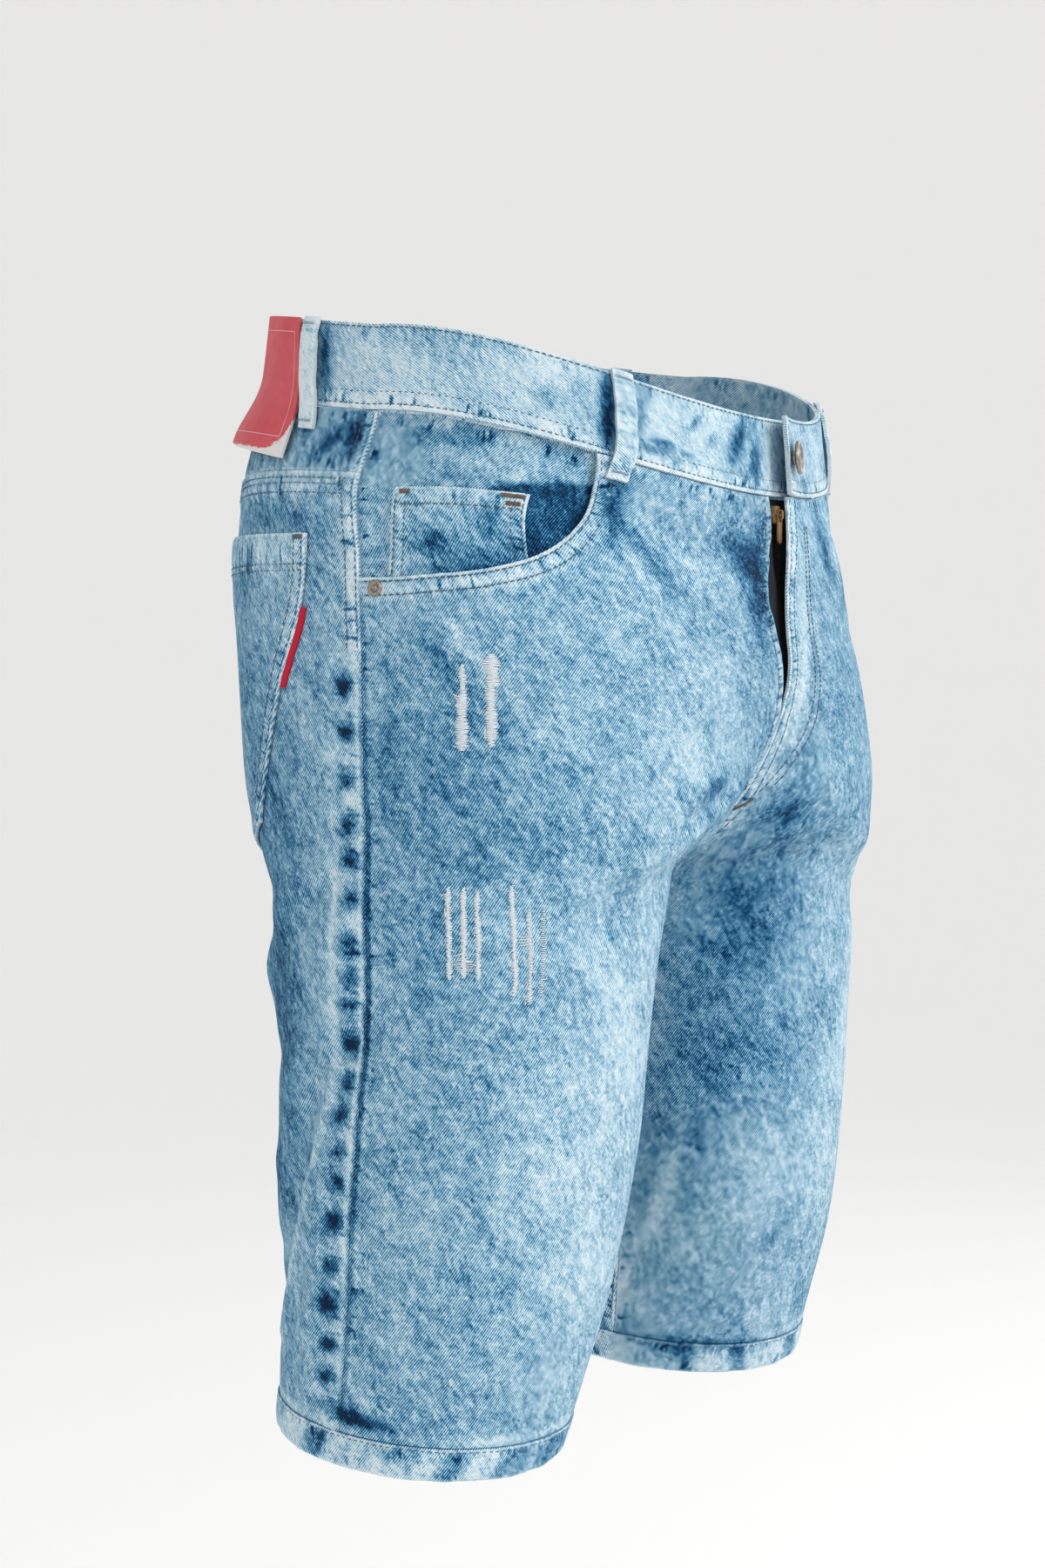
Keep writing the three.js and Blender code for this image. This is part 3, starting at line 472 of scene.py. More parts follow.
@dataclass(frozen=True)
class Seam:
    """A sewn edge: its line with the panel on its left, its doubled cloth and its rows of stitches."""

    line: Array
    rows: tuple[float, ...] = ()
    height: float = 0.6
    width: float = USUAL_WIDTH
    pucker: float = 0.25
    marks: float = 1.0
    seed: int = 1
    edge: bool = True
    ends: tuple[float, float] = (1.0, 1.0)

    @cached_property
    def arcs(self) -> Array:
        """Distances of the line's points from its start."""
        return distances(self.line)

    def measure(self, u: Array, z: Array) -> tuple[Array, Array]:
        """Find the nearest place on the line.

        Args:
            u: places' u.
            z: places' height.

        Returns:
            The distance along the line and the distance from it.
        """
        shape = u.shape
        p = np.stack([u.ravel(), z.ravel()], -1)
        along = np.zeros(len(p))
        off = np.full(len(p), NO_SEAM)
        near = np.all((p > self.line.min(0) - SEAM_REACH) & (p < self.line.max(0) + SEAM_REACH), axis=1)
        q = p[near]
        best, place = off[near], along[near]
        for a, b, arc in zip(self.line, self.line[1:], self.arcs):
            d = b - a
            length = max(float(np.hypot(*d)), 1e-6)
            t = np.clip(((q - a) @ d) / length**2, 0, 1)
            away = np.hypot(q[:, 0] - a[0] - t * d[0], q[:, 1] - a[1] - t * d[1])
            closer = away < best
            best = np.where(closer, away, best)
            place = np.where(closer, arc + t * length, place)
        off[near], along[near] = best, place
        return along.reshape(shape), off.reshape(shape)

    def rise(self, along: Array, off: Array) -> Array:
        """How far the doubled, puckered cloth stands at places along and off the line."""
        doubled = self.height * (1 - smooth(self.width, self.width + 1.6, off))
        rolled = -0.55 * (1 - smooth(0, 1.5, off)) if self.edge else 0.0
        return doubled + rolled + self.swell(off) + self.pucker * self.waves(along, off)

    def waves(self, along: Array, off: Array) -> Array:
        """The uneven puckers across the seam, from about -1.5 to 1.5."""
        near = np.exp(-((off / (self.width + 4)) ** 2))
        fine = 0.5 * ripple(along - 0.2 * off, 2.6, self.seed + 7)
        return near * (ripple(along + 0.35 * off, 5.5, self.seed) + fine)

    def swell(self, off: Array) -> Array:
        """The cloth bulges between the rows and sinks at each."""
        total = sum(-0.34 * np.exp(-(((off - row) / 0.75) ** 2)) for row in self.rows) + 0 * off
        for low, high in zip((0.0, *self.rows), self.rows):
            total = total + 0.3 * np.sin(np.pi * np.clip((off - low) / (high - low), 0, 1))
        return total

    def worn(self, along: Array, off: Array) -> Array:
        """How much paler the rubbed high places are, and darker the hollows."""
        rubbed = 0.2 + 0.1 * ripple(along, 7, self.seed + 3)
        edge = rubbed * (1 - smooth(0.8, 2.0, off)) if self.edge else 0.0
        band = 0.12 * (1 - smooth(self.width, self.width + 3, off)) * (self.height > 0)
        return self.marks * (edge + band + 0.3 * self.swell(off) + 0.07 * self.waves(along, off))

    def row(self, offset: float, start: float = 0.0, end: float = 0.0) -> Array:
        """A line of stitches beside the edge, cut short at its ends."""
        d = np.gradient(self.line, axis=0)
        d = d / np.maximum(np.linalg.norm(d, axis=1, keepdims=True), 1e-9)
        moved = self.line + offset * np.stack([-d[:, 1], d[:, 0]], -1)
        keep = (self.arcs >= start) & (self.arcs <= self.arcs[-1] - end)
        return moved[keep]


def lifted(seams: Sequence[Seam], u: Array, z: Array) -> Array:
    """How far the seams lift the cloth at u, z."""
    total = np.zeros(np.shape(u))
    for seam in seams:
        along, off = seam.measure(u, z)
        total = total + np.where(off < SEAM_REACH, seam.rise(along, off), 0)
    return total


@dataclass(frozen=True)
class WashAndShade:
    """A place painted paler (plus) or darker (minus): mostly where the dye is paler or darker, and in a few
    places painted shade and painted shadow.
    """

    side: int
    u: float
    z: float
    wide: float
    high: float
    tone: float
    lean: float = 0.0

    def at(self, u: Array, z: Array) -> Array:
        """How much it changes the tone at each place."""
        du = u - self.u - self.lean * (z - self.z)
        return self.tone * np.exp(-((du / self.wide) ** 2) - (((z - self.z) / self.high) ** 2))


@dataclass
class Wall:
    """A thin closed wall of cloth on a grid of places, with what its finish needs at each point."""

    name: str
    side: Array
    u: Array
    z: Array
    out: Array
    thickness: float = CLOTH
    seams: Sequence[Seam] = ()
    seed: float = 0.0
    tone: Array | float = 0.0

    def relief(self) -> tuple[Array, Array]:
        """Measure the seams.

        Returns:
            How far they lift each place, and the nearest seam's (along, off, marks) for each.
        """
        rise = np.zeros(self.u.shape)
        nearest = np.full((*self.u.shape, 3), NO_SEAM)
        nearest[..., 2] = 0
        self.tone = self.tone + np.zeros(self.u.shape)
        for k, seam in enumerate(self.seams):
            along, off = seam.measure(self.u, self.z)
            rise += np.where(off < SEAM_REACH, seam.rise(along, off), 0)
            self.tone += np.where(off < SEAM_REACH, seam.worn(along, off), 0)
            closer = off < nearest[..., 1]
            away = off * USUAL_WIDTH / max(seam.width, 7)
            found = np.stack([along + SEAM_STEP * k, away, np.full(off.shape, seam.marks)], -1)
            nearest = np.where(closer[..., None], found, nearest)
        return rise, nearest

    def build(self) -> bpy.types.Object:
        """Make the mesh object."""
        shape = self.u.shape
        side = np.broadcast_to(self.side, shape)
        rise, nearest = self.relief()
        outer = DRAFT.place(side, self.u, self.z, self.out + rise).points
        back = self.out - self.thickness + 0.5 * np.minimum(rise, 0)
        inner = DRAFT.place(side, self.u, self.z, back).points
        rows, columns = shape
        index = np.arange(rows * columns).reshape(shape)
        quads = [cells(index), cells(index + rows * columns)[:, ::-1]]
        rim = np.concatenate([index[0, :], index[1:, -1], index[-1, -2::-1], index[-2:0:-1, 0]])
        after = np.roll(rim, -1)
        quads.append(np.stack([after, rim, rim + rows * columns, after + rows * columns], -1))
        tone = self.tone
        cloth = np.stack([side * self.u, self.z, np.full(shape, self.seed)], -1)
        behind = cloth + (0, 0, 37)
        made = mesh_object(
            self.name,
            np.vstack([outer.reshape(-1, 3), inner.reshape(-1, 3)]),
            np.vstack(quads),
            {
                "cloth": np.vstack([cloth.reshape(-1, 3), behind.reshape(-1, 3)]),
                "seam": np.vstack([nearest.reshape(-1, 3)] * 2),
                "tone": np.concatenate([tone.ravel()] * 2),
            },
        )
        inside = np.zeros(len(made.data.polygons), np.int32)
        inside[len(quads[0]) : len(quads[0]) + len(quads[1])] = 1
        made.data.polygons.foreach_set("material_index", inside)
        made.data.set_sharp_from_angle(angle=math.radians(48))
        return made


def cells(index: Array) -> Array:
    """The four corners of each cell of a grid of vertex numbers."""
    return np.stack([index[:-1, :-1], index[:-1, 1:], index[1:, 1:], index[1:, :-1]], -1).reshape(-1, 4)


def mesh_object(
    name: str,
    points: Array,
    faces: Array,
    attributes: dict[str, Array] | None = None,
    flip: bool | None = None,
) -> bpy.types.Object:
    """Make a smooth mesh object out of points in mm.

    Args:
        name: the piece's name.
        points: the vertices.
        faces: corners, three or four a face.
        attributes: values for each vertex, vectors or numbers, by name.
        flip: whether the faces are turned; where None, they are turned if they enclose a minus volume.

    Returns:
        The object, linked to the scene.
    """
    if flip is None:
        a, b, c = points[faces[:, 0]], points[faces[:, 1]], points[faces[:, 2]]
        volume = (a * np.cross(b, c)).sum()
        if faces.shape[1] == 4:
            volume += (a * np.cross(c, points[faces[:, 3]])).sum()
        flip = volume < 0
    if flip:
        faces = faces[:, ::-1]
    mesh = bpy.data.meshes.new(name)
    mesh.vertices.add(len(points))
    mesh.vertices.foreach_set("co", (points * MM).astype(np.float32).ravel())
    mesh.loops.add(faces.size)
    mesh.loops.foreach_set("vertex_index", faces.astype(np.int32).ravel())
    mesh.polygons.add(len(faces))
    mesh.polygons.foreach_set("loop_start", np.arange(0, faces.size, faces.shape[1], dtype=np.int32))
    mesh.polygons.foreach_set("use_smooth", np.ones(len(faces), bool))
    for key, values in (attributes or {}).items():
        kind = "FLOAT_VECTOR" if values.ndim == 2 else "FLOAT"
        layer = mesh.attributes.new(key, kind, "POINT")
        layer.data.foreach_set("vector" if values.ndim == 2 else "value", values.astype(np.float32).ravel())
    mesh.update(calc_edges=True)
    mesh.validate()
    made = bpy.data.objects.new(name, mesh)
    bpy.context.scene.collection.objects.link(made)
    return made


class Value:
    """A number in a shader expression: adding, multiplying and comparing it adds Math nodes."""

    def __init__(self, tree: "Tree", socket: bpy.types.NodeSocket) -> None:
        self.tree = tree
        self.socket = socket

    def _math(self, operation: str, *values: "Value | float", clamp: bool = False) -> "Value":
        """Add a Math node on these values."""
        settings = {"operation": operation, "use_clamp": clamp}
        return self.tree.node("ShaderNodeMath", settings, dict(enumerate(values)))

    def __add__(self, other: "Value | float") -> "Value":
        """The sum."""
        return self._math("ADD", self, other)

    __radd__ = __add__

    def __sub__(self, other: "Value | float") -> "Value":
        """The difference."""
        return self._math("SUBTRACT", self, other)

    def __rsub__(self, other: float) -> "Value":
        """The difference, the other way."""
        return self._math("SUBTRACT", other, self)

    def __mul__(self, other: "Value | float") -> "Value":
        """The product."""
        return self._math("MULTIPLY", self, other)

    __rmul__ = __mul__

    def __truediv__(self, other: "Value | float") -> "Value":
        """The quotient."""
        return self._math("DIVIDE", self, other)

    def __abs__(self) -> "Value":
        """The absolute value."""
        return self._math("ABSOLUTE", self)

    def sin(self) -> "Value":
        """The sine, of radians."""
        return self._math("SINE", self)

    def clamped(self) -> "Value":
        """The value held between 0 and 1."""
        return self._math("ADD", self, 0.0, clamp=True)

    def step(self, low: float, high: float) -> "Value":
        """A smooth step from 0 at low to 1 at high."""
        settings = {"interpolation_type": "SMOOTHSTEP"}
        return self.tree.node("ShaderNodeMapRange", settings, {0: self, 1: low, 2: high, 3: 0.0, 4: 1.0})


class Tree:
    """A material's nodes."""

    def __init__(self, name: str) -> None:
        self.material = bpy.data.materials.new(name)
        self.material.use_nodes = True
        self.nodes = self.material.node_tree.nodes
        self.links = self.material.node_tree.links
        self.nodes.clear()
        self.shader = self.nodes.new("ShaderNodeBsdfPrincipled")
        output = self.nodes.new("ShaderNodeOutputMaterial")
        self.links.new(self.shader.outputs[0], output.inputs[0])

    def node(
        self,
        kind: str,
        settings: dict[str, object] | None = None,
        sockets: dict[int | str, object] | None = None,
        output: int | str = 0,
        stops: Sequence[tuple[float, tuple[float, float, float]]] = (),
    ) -> Value:
        """Add a node.

        Args:
            kind: its type.
            settings: its own settings, made first.
            sockets: values or links of its sockets, by number or name.
            output: which output is returned.
            stops: a ramp's places and colours.

        Returns:
            The output as a value.
        """
        made = self.nodes.new(kind)
        for key, value in (settings or {}).items():
            setattr(made, key, value)
        if stops:
            ramp = made.color_ramp
            while len(ramp.elements) < len(stops):
                ramp.elements.new(0.5)
            for element, (place, colour) in zip(ramp.elements, stops):
                element.position = place
                element.color = (*linear(colour), 1)
        for key, value in (sockets or {}).items():
            self.feed(made.inputs[key], value)
        return Value(self, made.outputs[output])

    def feed(self, socket: bpy.types.NodeSocket, value: object) -> None:
        """Link a value to a socket, or set it there."""
        if isinstance(value, Value):
            self.links.new(value.socket, socket)
        else:
            socket.default_value = value

    def attribute(self, name: str, vector: bool = True) -> Value:
        """A mesh attribute."""
        settings = {"attribute_type": "GEOMETRY", "attribute_name": name}
        return self.node("ShaderNodeAttribute", settings, output="Vector" if vector else "Fac")

    def parts(self, vector: Value) -> tuple[Value, Value, Value]:
        """The three numbers of a vector."""
        first = self.node("ShaderNodeSeparateXYZ", None, {0: vector})
        return first, Value(self, first.socket.node.outputs[1]), Value(self, first.socket.node.outputs[2])

    def scaled(
        self,
        vector: Value,
        scale: tuple[float, float, float],
        move: tuple[float, float, float] = (0, 0, 0),
    ) -> Value:
        """A vector times a scale, moved."""
        settings = {"operation": "MULTIPLY_ADD"}
        return self.node("ShaderNodeVectorMath", settings, {0: vector, 1: scale, 2: move})

    def joined(self, x: Value | float, y: Value | float, z: Value | float = 0.0) -> Value:
        """A vector of three numbers."""
        return self.node("ShaderNodeCombineXYZ", None, {0: x, 1: y, 2: z})

    def noise(
        self, vector: Value, scale: float, detail: float = 2.0, rough: float = 0.5, warp: float = 0.0
    ) -> Value:
        """Cloudy noise from about -0.5 to 0.5."""
        sockets = {"Vector": vector, "Scale": scale, "Detail": detail, "Roughness": rough, "Distortion": warp}
        return self.node("ShaderNodeTexNoise", {"noise_dimensions": "3D"}, sockets) - 0.5

    def ramp(self, factor: Value, stops: Sequence[tuple[float, tuple[float, float, float]]]) -> Value:
        """A colour from a ramp of sRGB stops."""
        return self.node("ShaderNodeValToRGB", None, {0: factor}, stops=stops)

    def blend(self, factor: Value | float, first: Value | tuple, second: Value | tuple) -> Value:
        """One colour over another."""
        sockets = {0: factor, 6: colour4(first), 7: colour4(second)}
        return self.node("ShaderNodeMix", {"data_type": "RGBA"}, sockets, output=2)

    def dress(self, **sockets: object) -> None:
        """Set or link the shader's sockets; underscores stand for spaces."""
        for key, value in sockets.items():
            self.feed(self.shader.inputs[key.replace("_", " ")], value)

    def bump(self, height: Value, distance: float, strength: float = 1.0) -> None:
        """Feed a height, in shares of distance in metres, to the shader's normal."""
        sockets = {"Strength": strength, "Distance": distance, "Height": height}
        self.feed(self.shader.inputs["Normal"], self.node("ShaderNodeBump", None, sockets))


def linear(colour: tuple[float, float, float]) -> tuple[float, float, float]:
    """An sRGB colour from 0 to 255 as the shader's linear one."""
    parts = [c / 255 for c in colour]
    return tuple(p / 12.92 if p <= 0.04045 else ((p + 0.055) / 1.055) ** 2.4 for p in parts)


def colour4(value: Value | tuple[float, float, float]) -> Value | tuple[float, ...]:
    """A colour socket's value: a link, or an sRGB colour made linear."""
    return value if isinstance(value, Value) else (*linear(value), 1.0)


@dataclass(frozen=True)
class Denim:
    """Acid-washed twill: pale blue, mottled with dye that is left in blots that lean down the cloth."""

    name: str
    base: float = 0.65
    clouds: float = 0.16
    blots: float = 1.0
    veins: float = 0.2
    specks: float = 0.62
    twill: float = 0.3
    pitch: float = 1.1
    lean: float = 57.0
    marks: float = 1.0
    stops: tuple[tuple[float, tuple[int, int, int]], ...] = (
        (0.0, (3, 34, 62)), (0.16, (5, 76, 122)), (0.36, (48, 118, 160)), (0.56, (108, 165, 196)),
        (0.74, (154, 198, 218)), (0.9, (196, 221, 232)), (1.0, (222, 234, 240)),
    )

    def make(self) -> bpy.types.Material:
        """Build the material."""
        tree = Tree(self.name)
        cloth = tree.attribute("cloth")
        seam = tree.attribute("seam")
        tone = tree.attribute("tone", vector=False)
        s, z, seed = tree.parts(cloth)
        along, off, marks = tree.parts(seam)
        lean = math.radians(self.lean)
        across = s * math.sin(lean) - z * math.cos(lean)
        down = s * math.cos(lean) + z * math.sin(lean)
        fall = s * 0.78 + z * 0.62
        side = s * 0.62 - z * 0.78
        leaning = tree.joined(fall, side * 0.5, seed)
        clouds = tree.noise(cloth, 1 / 55, 2, 0.5, 0.5)
        streaks = tree.noise(leaning, 1 / 17, 2, 0.5, 0.8)
        blots = tree.noise(leaning, 1 / 3.2, 3, 0.66, 0.3)
        squiggle = tree.noise(leaning, 1 / 5.0, 1, 0.5, 1.2)
        specks = tree.noise(cloth, 1 / 1.5, 1, 0.5)
        uneven = tree.noise(tree.joined(across / 0.9, down / 7, seed), 1.0, 1, 0.5)
        thread = tree.noise(tree.joined(s / 0.55, z / 6, seed), 1.0, 1, 0.5)
        lines = (across * (2 * math.pi / self.pitch) + uneven * 1.5).sin()
        veins = (1 - abs(squiggle * 10.0)).clamped() * (0.55 - clouds * 2.4 - streaks * 2.0).clamped()
        wash = self.base + clouds * self.clouds + streaks * 0.3 + blots * self.blots + specks * self.specks
        # tone brings in the painted marks: dye marks, and painted shade and shadow where a piece's marks hold
        # them.
        wash = wash + tone + thread * 0.14 - veins * self.veins
        comb = (tree.noise(tree.joined(along / 4.6, off / 22, seed + 9), 1.0, 2, 0.6) * 9.0 - 0.5).clamped()
        cut = (tree.noise(tree.joined(along / 3.1, off / 9, seed + 21), 1.0, 2, 0.6) * 3.0).clamped()
        beside = (1 - off.step(4.0, 15.0)) * marks
        inner = off.step(1.0, 3.0)
        wash = wash - beside * comb * inner * (0.66 * self.marks) + beside * cut * (0.26 * self.marks)
        dyed = 1 - abs(wash - 0.55).clamped()
        wash = wash + lines * self.twill * dyed
        tree.dress(
            Base_Color=tree.ramp(wash.clamped(), self.stops),
            Roughness=0.9,
            Sheen_Weight=0.04,
            Sheen_Roughness=0.5,
            Specular_IOR_Level=0.12,
        )
        height = lines * 0.6 + thread * 0.9 + specks * 0.4 + blots * 0.12
        tree.bump(height, 0.00025)
        return tree.material


@dataclass(frozen=True)
class Reverse:
    """The back of the twill: white weft with a little blue between."""

    name: str
    light: tuple[int, int, int] = (196, 208, 218)
    dark: tuple[int, int, int] = (120, 146, 172)

    def make(self) -> bpy.types.Material:
        """Build the material."""
        tree = Tree(self.name)
        cloth = tree.attribute("cloth")
        s, z, seed = tree.parts(cloth)
        lines = ((s * 0.84 + z * 0.54) * (2 * math.pi / 1.1)).sin()
        clouds = tree.noise(cloth, 1 / 30, 3, 0.6)
        specks = tree.noise(cloth, 1 / 1.2, 1, 0.5)
        share = (0.35 + clouds * 0.5 + specks * 0.4 + lines * 0.12).clamped()
        colour = tree.blend(share, self.light, self.dark)
        tree.dress(Base_Color=colour, Roughness=0.95, Specular_IOR_Level=0.15)
        tree.bump(lines * 0.5 + specks, 0.0002)
        return tree.material


@dataclass(frozen=True)
class Thread:
    """Spun sewing thread or loose yarn."""

    name: str
    light: tuple[int, int, int]
    dark: tuple[int, int, int]
    ply: float = 0.55

    def make(self) -> bpy.types.Material:
        """Build the material."""
        tree = Tree(self.name)
        cloth = tree.attribute("cloth")
        along, around, seed = tree.parts(cloth)
        twist = ((along / self.ply + around) * (2 * math.pi)).sin()
        tint = tree.noise(tree.joined(seed, along / 3), 1.0, 1, 0.5)
        share = (0.5 + tint * 0.9 + twist * 0.25).clamped()
        colour = tree.blend(share, self.light, self.dark)
        tree.dress(Base_Color=colour, Roughness=0.85, Specular_IOR_Level=0.2)
        tree.bump(twist, 0.00008)
        return tree.material


@dataclass(frozen=True)
class Woven:
    """A plain dense tape or leatherboard of one colour, scuffed in places."""

    name: str
    colour: tuple[int, int, int]
    faded: tuple[int, int, int]
    worn: tuple[int, int, int]
    wear: float = 0.3
    roughness: float = 0.8
    grain: float = 0.8

    def make(self) -> bpy.types.Material:
        """Build the material."""
        tree = Tree(self.name)
        cloth = tree.attribute("cloth")
        s, z, seed = tree.parts(cloth)
        tone = tree.attribute("tone", vector=False)
        clouds = tree.noise(cloth, 1 / 14, 3, 0.6, 0.3)
        scuffs = tree.noise(cloth, 1 / 3.5, 4, 0.75, 0.8)
        grain = tree.noise(cloth, 1 / self.grain, 2, 0.6)
        share = (0.45 + clouds * 1.3 + grain * 0.35).clamped()
        base = tree.blend(share, self.colour, self.faded)
        worn = (scuffs * 1.6 + tone + clouds * 0.6).step(0.62 - self.wear, 0.8 - self.wear)
        tree.dress(
            Base_Color=tree.blend(worn, base, self.worn), Roughness=self.roughness, Specular_IOR_Level=0.3
        )
        tree.bump(grain + scuffs * 0.6 - worn * 0.5, 0.0002)
        return tree.material


@dataclass(frozen=True)
class Metal:
    """Dull cast metal with dirt in its hollows."""

    name: str
    colour: tuple[int, int, int]
    dirt: tuple[int, int, int]
    roughness: float = 0.38

    def make(self) -> bpy.types.Material:
        """Build the material."""
        tree = Tree(self.name)
        place = tree.node("ShaderNodeTexCoord", output="Object")
        spots = tree.noise(place, 900, 3, 0.6)
        scratches = tree.noise(tree.scaled(place, (400, 400, 3000)), 1.0, 2, 0.6)
        share = (0.3 + spots * 1.6).clamped()
        tree.dress(
            Base_Color=tree.blend(share, self.colour, self.dirt),
            Metallic=0.95,
            Roughness=(self.roughness + scratches * 0.3 + spots * 0.2).clamped(),
        )
        tree.bump(spots + scratches * 0.4, 0.00006)
        return tree.material


class Finish(Enum):
    """The finishes of the garment."""

    DENIM = Denim("washed_denim")
    BAND = Denim("washed_band", lean=-33.0, base=0.8, clouds=0.7, veins=0.15)
    # The fly shield's finish: dark denim, made darker still as painted shade, for the shield lies in the
    # fly's shadow.
    DARK = Denim(
        "dark_denim_in_painted_shade", base=0.12, clouds=0.08, blots=0.12, veins=0.0, specks=0.12, twill=0.1, marks=0.3
    )
    REVERSE = Reverse("denim_reverse")
    SEWING = Thread("sewing_thread", (122, 130, 136), (62, 68, 78))
    PALE_SEWING = Thread("pale_sewing_thread", (186, 200, 210), (120, 146, 166))
    BROWN_SEWING = Thread("bartack_thread", (148, 132, 118), (70, 62, 58))
    YARN = Thread("loose_yarn", (242, 246, 248), (200, 216, 226), 0.9)
    PATCH = Woven("red_leatherboard", (190, 62, 74), (214, 96, 104), (222, 218, 216), 0.16, 0.62, 0.7)
    PATCH_MARKS = Woven("faded_border", (226, 196, 196), (214, 150, 154), (205, 110, 118), 0.3, 0.7, 0.7)
    BINDING = Woven("red_binding", (196, 26, 58), (170, 18, 48), (214, 90, 110), 0.05, 0.8, 0.6)
    # The zip tape is dark navy, made nearly black as painted shade, for it lies in the fly's shadow.
    TAPE = Woven("zip_tape_cloth", (22, 28, 36), (34, 42, 52), (60, 68, 78), 0.05, 0.9, 0.6)
    BRASS = Metal("dull_brass", (186, 142, 92), (84, 60, 38), 0.34)
    # The chain's teeth: dull brass, made nearly black as painted shade, for the chain lies in the fly's
    # shadow.
    TEETH = Metal("dark_brass_and_painted_shade", (34, 26, 18), (10, 8, 7), 0.55)
    PEWTER = Metal("antique_silver", (168, 160, 150), (74, 66, 60), 0.34)

    @cached_property
    def material(self) -> bpy.types.Material:
        """The finish's material, built once."""
        return self.value.make()


def wear(piece: bpy.types.Object, *finishes: Finish) -> None:
    """Give a piece its materials, in the order of its face groups."""
    piece.data.materials.clear()
    for finish in finishes:
        piece.data.materials.append(finish.material)


def put_on(
    made: bpy.types.Object, node: str | None, slot: str, finishes: Sequence[Finish], **sheet: object
) -> bpy.types.Object:
    """Give a piece its finishes, let it ride the garment and hide the construction's node that it stands for.

    Args:
        made: the piece.
        node: the construction's node that it stands for, if any.
        slot: its slot; not used.
        finishes: its finishes, in the order of its face groups.
        sheet: what is said of a cloth sheet, if it is one; not used.

    Returns:
        The piece.
    """
    wear(made, *finishes)
    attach(made, "garment")
    if node:
        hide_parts(node)
    log.info("%s: %d faces", made.name, len(made.data.polygons))
    return made


class Threads:
    """Short bits of thread, gathered over a sub-assembly and joined into one mesh."""

    SIDES = 5

    def __init__(self, name: str, finish: Finish, slot: str, radius: float = 0.34) -> None:
        self.name = name
        self.finish = finish
        self.slot = slot
        self.radius = radius
        self.paths: list[Array] = []
        self.normals: list[Array] = []

    def lay(
        self, side: int | Array, starts: Array, ends: Array, height: Height, arch: float = 0.3
    ) -> None:
        """Lay bits of thread that dip into the cloth at both ends.

        Args:
            side: RIGHT or LEFT.
            starts: (u, z) of one end of each.
            ends: (u, z) of the other end of each.
            height: gives how far out the cloth is at u, z.
            arch: how far the middle stands out.
        """
        if not len(starts):
            return
        stations = ((0.0, -0.25), (0.18, 0.6), (0.5, 1.0), (0.82, 0.6), (1.0, -0.25))
        path, normal = [], []
        for t, rise in stations:
            spot = mix(starts, ends, t)
            spots = DRAFT.place(side, spot[:, 0], spot[:, 1], height(spot[:, 0], spot[:, 1]) + arch * rise)
            path.append(spots.points)
            normal.append(spots.normals)
        self.paths.append(np.stack(path, 1))
        self.normals.append(np.stack(normal, 1))

    def row(
        self, side: int, line: Array, height: Height, stitch: float = 2.7, gap: float = 0.75
    ) -> None:
        """Sew a row of running stitches along a line of (u, z)."""
        if len(line) < 2:
            return
        arcs = distances(line)
        count = int(arcs[-1] / (stitch + gap))
        at = np.arange(count) * (stitch + gap)
        starts = np.stack([np.interp(at, arcs, line[:, k]) for k in (0, 1)], -1)
        ends = np.stack([np.interp(at + stitch, arcs, line[:, k]) for k in (0, 1)], -1)
        self.lay(side, starts, ends, height)

    def tack(
        self,
        side: int,
        start: tuple[float, float],
        end: tuple[float, float],
        height: Height,
        width: float = 2.4,
    ) -> None:
        """Sew a bartack: close stitches across a short line."""
        a, b = np.array(start, float), np.array(end, float)
        length = float(np.hypot(*(b - a)))
        along = (b - a) / length
        over = np.array([-along[1], along[0]]) * width / 2
        steps = np.arange(0, length, 0.52)[:, None] * along + a
        slant = along * 0.35
        self.lay(side, steps - over, steps + over + slant, height, 0.55)

    def build(self) -> bpy.types.Object:
        """Join the bits into one piece."""
        paths = np.concatenate(self.paths)
        normals = np.concatenate(self.normals)
        count, stations, _ = paths.shape
        along = np.gradient(paths, axis=1)
        along /= np.maximum(np.linalg.norm(along, axis=-1, keepdims=True), 1e-9)
        across = np.cross(along, normals)
        across /= np.maximum(np.linalg.norm(across, axis=-1, keepdims=True), 1e-9)
        over = np.cross(across, along)
        thick = self.radius * np.array([0.25, 0.92, 1.0, 0.92, 0.25])[None, :, None, None]
        turn = np.linspace(0, 2 * np.pi, self.SIDES, endpoint=False)
        wide, high = (f(turn)[None, None, :, None] for f in (np.cos, np.sin))
        points = paths[:, :, None] + thick * (wide * across[:, :, None] + 0.8 * high * over[:, :, None])
        index = np.arange(count * stations * self.SIDES).reshape(count, stations, self.SIDES)
        after = np.roll(index, -1, 2)
        quads = np.stack([index[:, :-1], after[:, :-1], after[:, 1:], index[:, 1:]], -1).reshape(-1, 4)
        steps = np.linalg.norm(np.diff(paths, axis=1), axis=-1)
        arcs = np.concatenate([np.zeros((count, 1)), np.cumsum(steps, 1)], 1)
        shape = (count, stations, self.SIDES)
        values = [
            np.broadcast_to(arcs[:, :, None], shape),
            np.broadcast_to(turn / (2 * np.pi), shape),
            np.broadcast_to(np.arange(count)[:, None, None] * 1.37, shape),
        ]
        cloth = np.stack(values, -1).reshape(-1, 3)
        made = mesh_object(self.name, points.reshape(-1, 3), quads, {"cloth": cloth})
        return put_on(made, None, self.slot, [self.finish])


FLY = Profile(
    "z right left stand",
    (
        (-42, 14, -4, 4.4), (-61, 14.5, -5, 4.6), (-75, 19, -6.5, 4.4), (-107, 24, -11, 4),
        (-129, 18, -11, 3.6), (-150, 12, -8, 2.8), (-172, 6, -4, 1.6), (-200, 0.15, 0.15, 0),
    ),
)
FLY_FOOT_Z = -200.0
FLAP_BEND = 46.0

